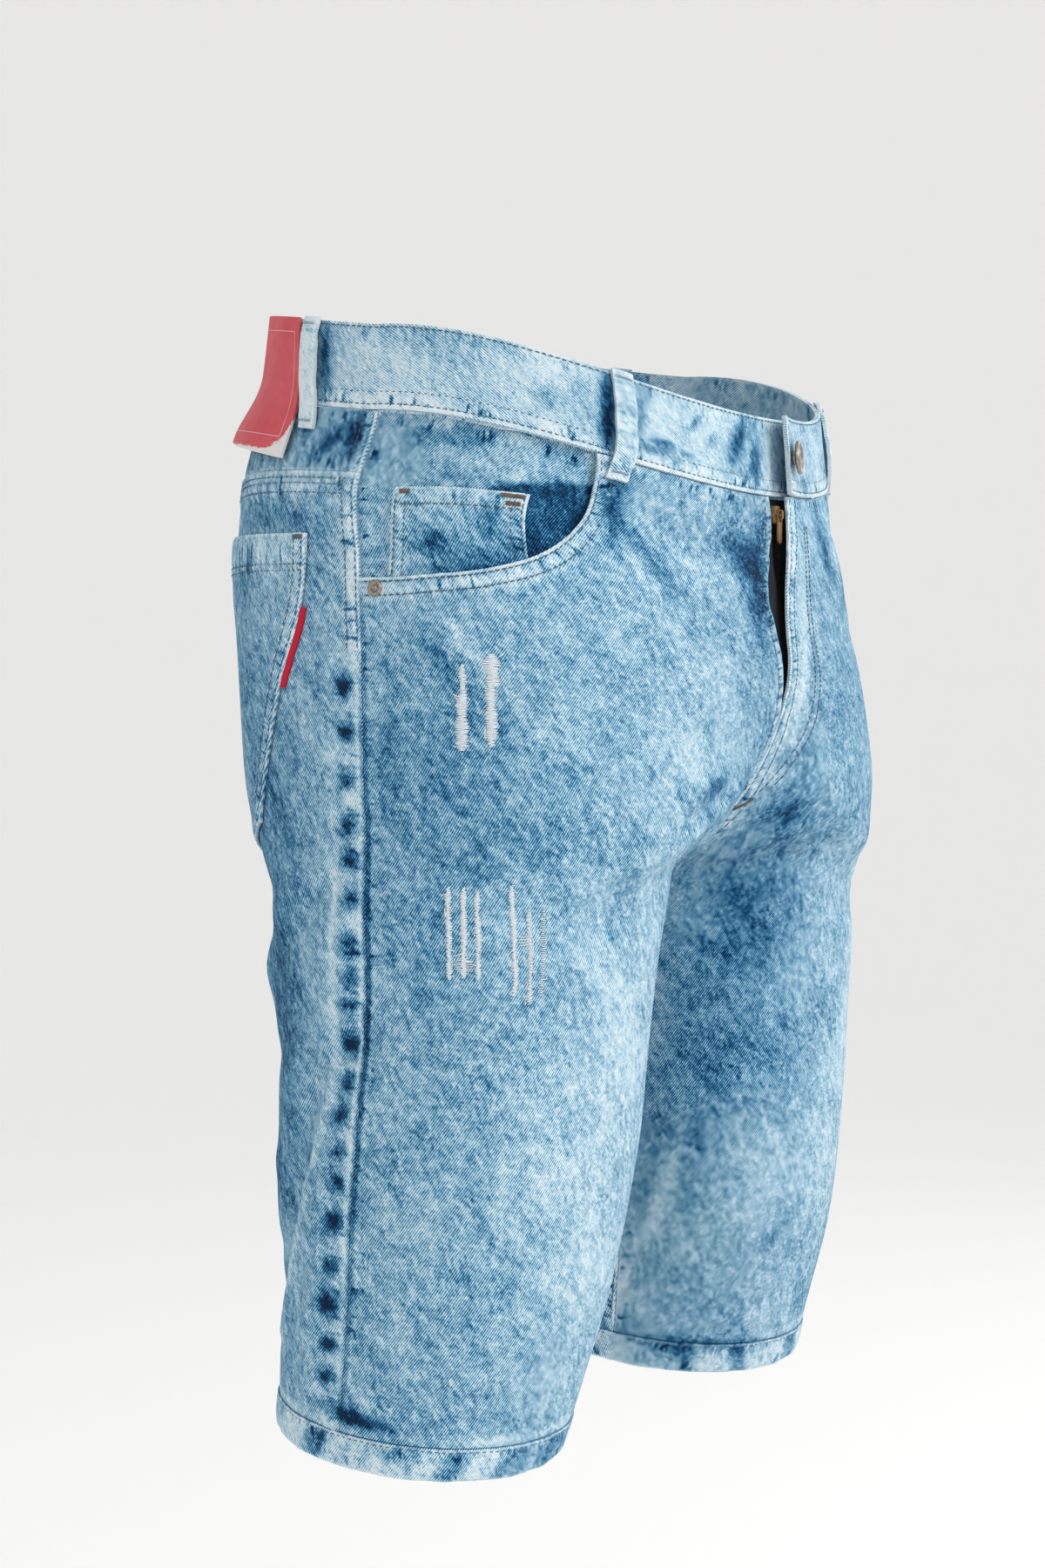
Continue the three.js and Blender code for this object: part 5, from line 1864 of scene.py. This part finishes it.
@dataclass
class Patch:
    """The red patch behind the right loop: bare of words, with a plain worn border."""

    start_u: float = 52.0
    end_u: float = 132.0
    foot_z: float = -66.0
    thickness: float = 1.3
    flare: float = 6.5

    def stand(self, u: Array, z: Array) -> Array:
        """It is sewn along the band, and its loose foot stands away, most at the outer corner."""
        loose = smooth(30, -self.foot_z, -z)
        corner = 0.3 + 0.9 * smooth(0, 44, u - self.start_u)
        wave = 0.7 * loose * np.sin((u - self.start_u) / 13)
        return BAND_OUT + 0.6 + self.thickness + self.flare * loose * corner + wave

    def outline(self, across: Array, z: Array) -> Array:
        """The u of a place across the patch; its cut edges wander a little."""
        u = mix(self.start_u, self.end_u, across)
        wander = 0.5 * ripple(z, 12, 71) * (np.abs(across - 0.5) > 0.45)
        return u + wander + (z - self.foot_z) * 0.03 * (1 - across)

    def build(self) -> bpy.types.Object:
        """Make the patch."""
        across = eased(70)[None, :]
        z = mix(0.4, self.foot_z - 4 * (1 - across), eased(60)[:, None])
        u = self.outline(across, z)
        corner = 1.2 * (1 - smooth(10, 20, u - self.start_u + 0.9 * (z - self.foot_z + 4)))
        edges = np.exp(-np.minimum(u - self.start_u, self.end_u - u) / 1.3) + np.exp(-(z - self.foot_z) / 1.6)
        top = np.exp(-((z + 1) / 4.5) ** 2)
        tone = 0.6 * corner + 0.35 * edges + 0.25 * top
        wall = Wall("cloth_patch", RIGHT, u, z, self.stand(u, z), self.thickness, seed=80.0, tone=tone)
        sheet = {"flat": (0.08, 0.067), "rests_on": ["cloth_waistband"]}
        return put_on(wall.build(), "patch", "patch", [Finish.PATCH] * 2, **sheet)

    def border(self) -> bpy.types.Object:
        """Make the plain pale frame that lies on the patch."""
        inset, width, top = 6.0, 0.7, -7.0
        foot, near, far = self.foot_z + inset, self.start_u + inset, self.end_u - inset
        corners = ((near, top), (far, top), (far, foot), (near, foot))
        loop = evenly(np.array([*corners, corners[0]]), 240)
        side = np.array([[-1, -1], [1, 1]]) * width / 2
        centre = np.array([(self.start_u + self.end_u) / 2, (top + foot) / 2])
        lean = np.sign(loop - centre) * 0.5
        paths = np.stack([loop + lean * s[0] for s in side], 0)
        u, z = paths[..., 0], paths[..., 1]
        made = Wall("patch_border", RIGHT, u, z, self.stand(u, z) + 0.12, 0.2, seed=90.0, tone=0.1).build()
        return put_on(made, None, "patch", [Finish.PATCH_MARKS] * 2)


@dataclass
class FlyStrip:
    """A strip behind the fly's opening, measured from the centre front towards the right."""

    node: str
    right: float
    left: float
    top_z: float
    foot_z: float
    out: float
    thickness: float
    finish: Finish
    slot: str

    def build(self) -> bpy.types.Object:
        """Make the strip."""
        z = np.linspace(self.top_z, self.foot_z, 60)[:, None]
        share = np.linspace(0, 1, 20)[None, :]
        u = DRAFT.edge(RIGHT, -1, z) + mix(self.right, self.left, share)
        z = np.broadcast_to(z, u.shape)
        wave = 0.25 * ripple(z, 14, 7)
        out = self.out + wave
        # tone -0.4 is painted shade: it darkens the fly shield, which lies in the fly's shadow; on the zip
        # tape it makes fewer pale scuffs.
        wall = Wall(f"cloth_{self.node}", RIGHT, u, z, out, self.thickness, seed=100.0, tone=-0.4)
        flat = (abs(self.right - self.left) * MM, (self.top_z - self.foot_z) * MM)
        sheet = {"flat": flat, "rests_on": ["cloth_waistband"]}
        return put_on(wall.build(), self.node, self.slot, [self.finish] * 2, **sheet)


@dataclass
class ZipTeeth:
    """The closed chain of brass teeth, along the line that the slider runs on."""

    from_centre: float = 10.0
    top_z: float = -58.0
    foot_z: float = -170.0
    pitch: float = 1.6
    size: tuple[float, float, float] = (2.1, 0.95, 1.1)
    out: float = -1.5

    def build(self) -> bpy.types.Object:
        """Make two rows of small bevelled blocks that mesh."""
        z = np.arange(self.top_z, self.foot_z, -self.pitch / 2)
        lean = np.where(np.arange(len(z)) % 2, 0.75, -0.75)
        u = DRAFT.edge(RIGHT, -1, z) + np.minimum(self.from_centre, 2.0 + 0.09 * (z - self.foot_z)) + lean
        spots = DRAFT.place(RIGHT, u, z, self.out)
        up = np.array([0.0, 0.0, 1.0])
        across = np.cross(spots.normals, up)
        across /= np.linalg.norm(across, axis=1, keepdims=True)
        over = np.cross(across, spots.normals)
        square = ((-1, -1), (1, -1), (1, 1), (-1, 1))
        corners = np.array([(x, y, w) for w in (0, 1) for x, y in square], float)
        taper = np.where(corners[:, 2:] > 0.5, 0.7, 1.0)
        half = corners[:, :2] * taper * np.array(self.size[:2]) / 2
        points = (
            spots.points[:, None]
            + half[None, :, :1] * across[:, None]
            + half[None, :, 1:] * over[:, None]
            + corners[None, :, 2:] * self.size[2] * spots.normals[:, None]
        )
        block = np.array([(0, 1, 5, 4), (1, 2, 6, 5), (2, 3, 7, 6), (3, 0, 4, 7), (4, 5, 6, 7), (3, 2, 1, 0)])
        faces = (block[None] + 8 * np.arange(len(z))[:, None, None]).reshape(-1, 4)
        made = mesh_object("zip_teeth", points.reshape(-1, 3), faces)
        made.data.set_sharp_from_angle(angle=math.radians(30))
        return put_on(made, None, "zip_metal", [Finish.TEETH])


def turned(
    name: str,
    profile: Sequence[tuple[float, float]],
    spot: Spots,
    beads: tuple[int, float, float] = (0, 0, 0),
) -> bpy.types.Object:
    """Turn a profile round the direction out of the cloth.

    Args:
        name: the piece's name.
        profile: (radius, height) pairs from the bottom centre to the top centre.
        spot: where it stands.
        beads: how many beads run round it, at which radius, and how high they are.

    Returns:
        The piece.
    """
    line = evenly(np.array(profile, float), 48)
    turn = np.linspace(0, 2 * np.pi, 96, endpoint=False)
    count, radius, height = beads
    near = np.exp(-(((line[:, 0] - radius) / 0.35) ** 2)) if count else np.zeros(len(line))
    near = near * (line[:, 1] > line[:, 1].max() * 0.4)
    rise = line[:, 1:2] + height * near[:, None] * np.abs(np.sin(turn * count / 2))[None, :]
    n = spot.normals
    across = np.cross(n, (0, 0, 1.0))
    across /= np.linalg.norm(across)
    over = np.cross(across, n)
    points = (
        spot.points
        + line[:, 0, None, None] * (np.cos(turn)[None, :, None] * across + np.sin(turn)[None, :, None] * over)
        + rise[..., None] * n
    )
    index = np.arange(points.shape[0] * 96).reshape(-1, 96)
    index = np.hstack([index, index[:, :1]])
    return mesh_object(name, points.reshape(-1, 3), cells(index))


@dataclass
class Trims:
    """The button and the rivets: plain, with no name on them."""

    button_radius: float = 8.75
    button_height: float = 4.6
    rivet_radius: float = 4.15

    def button(self) -> bpy.types.Object:
        """Make the shank button, with a rolled rim round a dished middle."""
        r, h = self.button_radius, self.button_height
        profile = (
            (0.05, 0), (3.6, 0), (3.6, h - 2.6), (r - 1.0, h - 2.4), (r - 0.1, h - 1.9), (r, h - 1.3),
            (r - 0.25, h - 0.55), (r - 0.9, h - 0.05), (r - 1.5, h - 0.1), (r - 2.1, h - 0.75),
            (r - 2.6, h - 0.95), (3.6, h - 0.8), (3.2, h - 0.45), (2.6, h - 0.4), (2.2, h - 0.75),
            (0.05, h - 0.7),
        )
        inset = 4.0
        u = DRAFT.edge(RIGHT, -1, -BAND_HEIGHT / 2) + inset
        flare = float(band_flare(np.array(-inset)))
        spot = DRAFT.place(RIGHT, float(u), -BAND_HEIGHT / 2, BAND_OUT + BAND_STAND + flare + 0.45)
        slope = math.atan(2 * flare / (FLARE_START + inset))
        n = spot.normals
        turned_x = n[0] * math.cos(slope) - n[1] * math.sin(slope)
        spot.normals = np.array([turned_x, n[0] * math.sin(slope) + n[1] * math.cos(slope), n[2]])
        made = turned("button_face", profile, spot, (40, 5.0, 0.22))
        return put_on(made, "button", "pewter", [Finish.PEWTER])

    def rivet(self, side: int) -> bpy.types.Object:
        """Make a rivet with a beaded ring round its pin."""
        r = self.rivet_radius
        profile = (
            (0.05, 0), (r - 0.2, 0), (r, 0.3), (r - 0.15, 0.85), (r - 0.6, 1.25), (r - 1.3, 1.35),
            (r - 1.9, 1.1), (1.75, 0.75), (1.5, 0.95), (1.1, 1.45), (0.6, 1.7), (0.05, 1.75),
        )
        spot = DRAFT.place(side, -9.3, -129.0, 0.95)
        made = turned(f"rivet_face_{SIDE_NAMES[side]}", profile, spot, (26, 2.75, 0.3))
        return put_on(made, f"rivet_{SIDE_NAMES[side]}", "pewter", [Finish.PEWTER])


@dataclass(frozen=True)
class WornBar:
    """A narrow upright place where the blue warp is rubbed away and the white weft shows."""

    side: int
    u: float
    z: float
    u_end: float
    z_end: float
    width: float = 3.6
    density: float = 1.0


# Worn bars on the right front and pocket, as seen, and like ones on the left
WORN_BARS = (
    *each(
        WornBar, RIGHT,
        (-53, -164, -52.6, -182, 3.6), (-52.6, -179, -51, -206, 6.2), (-67.5, -158, -67, -174, 7.8),
        (-66.6, -173, -65.5, -204, 5.6), (-50, -306, -50, -312, 12, 0.6), (-80, -296, -79, -300, 10, 0.5),
        (-43.5, -272, -42, -316, 3.0), (-51, -272, -49, -315, 3.2), (-57.5, -274, -56, -316, 3.0),
        (-74, -271, -74, -324, 3.0), (-82.5, -283, -81, -328, 3.0, 0.8),
        (-90, -283, -87, -324, 2.6, 0.45),
    ),
    *each(
        WornBar, LEFT,
        (-58, -166, -57, -206, 4.4), (-72, -160, -70, -200, 4.8), (-48, -268, -47, -312, 3.0),
        (-56, -272, -54, -318, 3.2), (-82, -276, -82, -324, 3.0, 0.8),
    ),
)


def lay_yarns(
    bars: Sequence[WornBar], side: int, height: Height, threads: Threads, seed: int = 5
) -> None:
    """Lay the loose white yarns of the worn bars on one side.

    Args:
        bars: the worn bars.
        side: RIGHT or LEFT.
        height: gives how far out the cloth is at u, z.
        threads: gathers the yarns.
        seed: which yarns.
    """
    rng = np.random.default_rng(seed)
    for bar in bars:
        if bar.side != side:
            continue
        length = abs(bar.z_end - bar.z)
        count = int(length / 0.46 * bar.density)
        t = np.linspace(0, 1, count)
        centre = np.stack([mix(bar.u, bar.u_end, t), mix(bar.z, bar.z_end, t)], -1)
        centre[:, 0] += 0.5 * ripple(t * length, 6, seed) + rng.normal(0, 0.2, count)
        taper = 1 - 0.45 * np.exp(-np.minimum(t, 1 - t) * length / 1.5)
        uneven = 1.0 + 0.22 * ripple(t * length + 50, 5, seed + 1)
        reach = bar.width * uneven * rng.uniform(0.9, 1.06, count) * taper
        half = np.stack([reach / 2, rng.normal(0, 0.25, count)], -1)
        threads.lay(side, centre - half, centre + half, height, 0.5)
        ends = rng.uniform(0, 1, int(length / 4))
        start = np.stack([mix(bar.u, bar.u_end, ends), mix(bar.z, bar.z_end, ends)], -1)
        start[:, 0] += rng.choice((-0.5, 0.5), len(ends)) * bar.width
        flick = rng.normal(0, 1, start.shape) * (1.1, 0.9)
        threads.lay(side, start - flick, start + flick, height, 0.6)


@dataclass(frozen=True)
class Light:
    """A soft panel lamp."""

    name: str
    place: tuple[float, float, float]
    size: float
    power: float
    colour: tuple[float, float, float] = (1.0, 1.0, 1.0)


@dataclass
class Studio:
    """The photograph's camera, lamps and plain pale backdrop."""

    turn: float = 60.0
    distance: float = 1500.0
    focal_px: float = 3150.0
    middle_px: tuple[float, float] = (600.0, 900.0)
    centre_px: float = 628.0
    horizon_px: float = 710.0
    height: float = -143.7
    frame_height_px: float = 1800.0
    sensor: float = 36.0
    floor_z: float = -1.05
    target: tuple[float, float, float] = (0.0, 0.0, -0.28)
    lamps: tuple[Light, ...] = (
        Light("key", (-0.1, -2.6, 1.3), 1.7, 46.0),
        Light("fill", (-2.9, -0.9, 0.6), 2.2, 10.0),
        Light("top", (-0.2, 0.3, 2.4), 2.6, 7.0),
        Light("far_rim", (2.4, -0.6, 0.9), 1.6, 13.0),
    )

    def camera(self) -> None:
        """Set the camera up from the picture's horizon and scale."""
        turn = math.radians(self.turn)
        ahead = Vector((math.sin(turn), math.cos(turn), 0))
        right = Vector((math.cos(turn), -math.sin(turn), 0))
        pitch = math.atan((self.middle_px[1] - self.horizon_px) / self.focal_px)
        lateral = (self.middle_px[0] - self.centre_px) / self.focal_px * self.distance
        place = -ahead * self.distance + right * lateral + Vector((0, 0, self.height))
        look = ahead * math.cos(pitch) - Vector((0, 0, math.sin(pitch)))
        data = bpy.data.cameras.new("camera")
        data.sensor_fit = "VERTICAL"
        data.sensor_height = self.sensor
        data.lens = self.focal_px / self.frame_height_px * self.sensor
        data.clip_end = 100
        made = bpy.data.objects.new("camera", data)
        made.location = place * MM
        made.rotation_euler = look.to_track_quat("-Z", "Y").to_euler()
        bpy.context.scene.collection.objects.link(made)
        bpy.context.scene.camera = made

    def lights(self) -> None:
        """Place the lamps and the room's even light."""
        for lamp in self.lamps:
            data = bpy.data.lights.new(lamp.name, "AREA")
            data.size = lamp.size
            data.energy = lamp.power
            data.color = lamp.colour
            made = bpy.data.objects.new(lamp.name, data)
            made.location = lamp.place
            aim = Vector(self.target) - made.location
            made.rotation_euler = aim.to_track_quat("-Z", "Y").to_euler()
            bpy.context.scene.collection.objects.link(made)
        world = bpy.data.worlds.new("room")
        world.use_nodes = True
        background = world.node_tree.nodes["Background"]
        background.inputs["Color"].default_value = (0.96, 0.98, 1.0, 1)
        background.inputs["Strength"].default_value = 0.6
        bpy.context.scene.world = world

    def backdrop(self) -> None:
        """Make the floor, swept up in a wide curve all round."""
        turn = np.linspace(0, 2 * np.pi, 96, endpoint=False)
        flat, bend, top = 3.2, 3.0, 7.0
        arc = np.linspace(0, np.pi / 2, 16)
        reach = np.concatenate([[0.01, flat], flat + bend * np.sin(arc[1:]), [flat + bend]])
        rise = np.concatenate([[0, 0], bend * (1 - np.cos(arc[1:])), [top]])
        points = np.stack(
            [
                reach[:, None] * np.cos(turn),
                reach[:, None] * np.sin(turn),
                np.broadcast_to(rise[:, None] + self.floor_z, (len(reach), 96)),
            ],
            -1,
        )
        index = np.arange(points.shape[0] * 96).reshape(-1, 96)
        index = np.hstack([index, index[:, :1]])
        made = mesh_object("backdrop", points.reshape(-1, 3) / MM, cells(index), flip=True)
        tree = Tree("backdrop_paper")
        tree.dress(Base_Color=(*linear((242, 241, 240)), 1.0), Roughness=1.0, Specular_IOR_Level=0.0)
        tree.dress(Emission_Color=(1, 1, 1, 1), Emission_Strength=0.12)
        made.data.materials.append(tree.material)

    def build(self) -> None:
        """Set the whole studio up, with plain colours."""
        bpy.context.scene.view_settings.view_transform = "Standard"
        self.camera()
        self.lights()
        self.backdrop()


# The wash: pale thighs and flap, dark by the fly, under the front loop and behind the leg. Two marks are
# painted light, not dye: painted shade over the whole back, and a painted shadow line on the front beside the
# side seam.
WASHES_AND_SHADE = (
    *each(
        WashAndShade, BOTH,
        (-132, -400, 42, 105, 0.24, 0.1), (-168, -300, 20, 60, 0.1), (-40, -250, 26, 90, -0.06),
        (-128, -64, 8, 15, -0.45), (-150, -88, 6, 24, -0.34, 0.95), (-134, -84, 5, 16, -0.36, 0.3),
        (-144, -98, 4, 26, 0.24, 0.62), (-166, -82, 4, 18, 0.2, 1.3), (-45, -168, 6, 24, -0.2, 0.7),
        (-60, -160, 5, 26, 0.16, 0.75), (-14, -205, 8, 40, -0.22), (-38, -225, 5, 50, -0.14, 0.75),
        # (-1.2, -330, ...) is a painted shadow: the dark line on the front beside the side seam.
        (-28, -215, 4, 50, 0.14, 0.75), (-1.2, -330, 1.4, 190, -0.5), (-250, -370, 24, 110, -0.2),
        (9, -54, 6, 16, -0.7), (26, -60, 8, 9, -0.5, -0.6), (44, -52, 5, 8, -0.4), (60, -97, 34, 8, -0.2),
        # (120, -300, ...) is painted shade: it darkens the whole back, which faces away from the light.
        (66, -330, 26, 130, -0.26), (120, -300, 60, 300, -0.14), (44, -160, 12, 50, 0.06),
        (0.8, -340, 1.0, 200, -0.3), (3.2, -340, 1.2, 200, 0.25), (9, -330, 9, 190, 0.2),
        (19, -300, 3.0, 70, 0.24), (27, -402, 3.5, 34, 0.2, -0.3), (50, -470, 3.5, 40, 0.18, -0.48),
        (190, -200, 40, 80, 0.1), (235, -380, 30, 90, -0.16), (-34, -52, 20, 5, -0.3),
        (-92, -60, 14, 8, -0.2), (-10, -532, 20, 6, -0.6, 2.2), (-30, -545, 12, 3, -0.5, 1.0),
        (-90, -537, 120, 2.6, 0.2), (120, -537, 120, 2.6, 0.2),
    ),
    *each(
        WashAndShade, RIGHT,
        (-237, -98, 11, 36, -0.6, 0.1), (-220, -80, 13, 16, -0.3, 0.4), (-214, -74, 12, 10, -0.1),
        (-190, -60, 40, 8, 0.06), (-60, -240, 46, 40, -0.12, 0.5), (-34, -300, 22, 50, -0.1),
        (-110, -330, 14, 60, -0.08, 0.2), (-176, -200, 26, 60, 0.14), (-200, -228, 16, 9, -0.35, -1.2),
        (-70, -60, 30, 6, 0.14),
    ),
    *each(
        WashAndShade, LEFT,
        (-262, -165, 9, 55, 0.34), (-208, -76, 14, 24, -0.34), (-240, -246, 14, 9, -0.36),
        (-190, -400, 60, 140, -0.14), (-225, -300, 24, 40, -0.22), (-200, -440, 30, 40, 0.16),
        (-190, -540, 40, 5, -0.4), (-250, -470, 6, 60, 0.3),
    ),
)
COIN_WASHES = (
    *each(
        WashAndShade, RIGHT,
        (-66, -120, 24, 15, -0.5), (-40, -104, 7, 6, -0.42), (-84, -100, 8, 8, -0.3),
        (-70, -88, 4, 12, -0.3),
    ),
)
# Marks on the band: mostly dark dye, with painted shadows beside the loops and on the right end under the
# left end.
BAND_WASHES_AND_SHADOWS = (
    *each(
        WashAndShade, BOTH,
        # (-118, -24, ...) is a painted shadow beside the front loop, which stands off the band.
        (-118, -24, 4.5, 24, -0.85), (-138, -8, 4, 12, -0.3, -0.6), (-142, -32, 12, 3.5, -0.5),
        # (34, -20, ...) is a painted shadow beside the back loop, which stands off the band.
        (-158, -36, 4, 3, -0.4), (34, -20, 4.5, 24, -0.7), (-150, -27, 7, 2.2, -0.6, 0.6),
        (-136, -22, 3, 8, -0.4, -0.5), (-166, -30, 5, 1.6, -0.5, 0.6), (-86, -22, 8, 6, -0.3),
        (100, -24, 24, 14, -0.16), (180, -18, 20, 12, -0.2),
    ),
    *each(
        WashAndShade, RIGHT,
        # The first two here are the painted shadow that the band's left end, standing proud, casts on the
        # right end.
        (-206, -14, 7, 13, -0.75, -0.5), (-222, -24, 6, 14, -0.6), (-172, -12, 3, 5, -0.5, -0.8),
        (-184, -17, 3, 4, -0.4, -0.8),
    ),
    *each(
        WashAndShade, LEFT,
        (-232, -34, 10, 5, -0.3),
    ),
)


# Bartacks at the coin pocket's corners, from (u, z) to (u, z)
COIN_TACKS = (((-86.5, -74.4), (-75, -75.6)), ((-85, -78.6), (-78, -79.3)), ((-29, -80.6), (-24, -81.1)))


def seam_dashes(side: int, seed: int) -> list[WashAndShade]:
    """The undyed-out dashes left in the puckers beside the side seam, behind it.

    Args:
        side: RIGHT or LEFT.
        seed: which dashes.

    Returns:
        A wash for each dash.
    """
    rng = np.random.default_rng(seed)
    found = []
    z = -176.0
    while z > -530.0:
        size = rng.uniform(0.45, 1.0)
        found.append(WashAndShade(side, 9.5 + rng.normal(0, 0.8), z, 4.8 + size, 5.2 * size + 1.8, -0.6 - 0.4 * size))
        z -= rng.uniform(13, 25)
    return found


def main() -> None:
    """Build the garment piece by piece, then the studio."""
    logging.basicConfig(level=logging.INFO, format="%(message)s")
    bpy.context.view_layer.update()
    sewing = Threads("stitches_body", Finish.SEWING, "denim")
    pale = Threads("stitches_loops", Finish.PALE_SEWING, "denim", 0.3)
    brown = Threads("bartacks", Finish.BROWN_SEWING, "denim", 0.3)
    yarns = Threads("worn_yarns", Finish.YARN, "denim", 0.26)
    for side in (RIGHT, LEFT):
        front = FrontPanel(side, seed=1, washes_and_shade=WASHES_AND_SHADE)
        panels = [
            front,
            BackPanel(side, seed=2, washes_and_shade=[*WASHES_AND_SHADE, *seam_dashes(side, 8 + side)]),
            Yoke(side, seed=3, washes_and_shade=WASHES_AND_SHADE),
            Hem(side, seed=4, washes_and_shade=WASHES_AND_SHADE),
            Facing(side, seed=5, washes_and_shade=WASHES_AND_SHADE),
            BackPocket(side, seed=6, washes_and_shade=WASHES_AND_SHADE),
        ]
        for panel in panels:
            panel.build()
            panel.sew(sewing)
        lay_yarns(WORN_BARS, side, front.height, yarns)
        if side == LEFT:
            foot = float(DRAFT.edge(LEFT, -1, -240))
            brown.tack(LEFT, (foot + 2, -244), (foot + 10, -239), front.height, 2.2)
        for kind, u in (("front", LOOP_FRONT_U), ("back", LOOP_BACK_U)):
            middle = lambda z, u=u: np.full(np.shape(z), u)
            loop = BeltLoop(f"belt_loop_{kind}_{SIDE_NAMES[side]}", side, middle, seed=int(u) + 200 + side)
            loop.build()
            loop.sew(pale)
        Trims().rivet(side)
    centre = BeltLoop("belt_loop_centre", RIGHT, lambda z: DRAFT.edge(RIGHT, 1, z), seed=3)
    centre.build()
    centre.sew(pale)
    coin = CoinPocket(RIGHT, seed=7, washes_and_shade=COIN_WASHES)
    coin.build()
    coin.sew(sewing)
    for start, end in COIN_TACKS:
        brown.tack(RIGHT, start, end, coin.height, 2.6)
    band = Waistband(RIGHT, seed=8, washes_and_shade=BAND_WASHES_AND_SHADOWS)
    band.build()
    band.sew(sewing)
    EdgeStrip().build()
    patch = Patch()
    patch.build()
    patch.border()
    FlyStrip("fly_shield", 34, -20, -43, -186, -3.8, 1.4, Finish.DARK, "dark_denim").build()
    FlyStrip("zip_tape", 24, -7, -43.5, -176, -2.4, 0.8, Finish.TAPE, "zip_tape").build()
    ZipTeeth().build()
    Trims().button()
    for threads in (sewing, pale, brown, yarns):
        threads.build()
    for node in ("zip_slider", "zip_pull"):
        wear(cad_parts[node], Finish.BRASS)
    Studio().build()


if __name__ == "__main__":
    main()
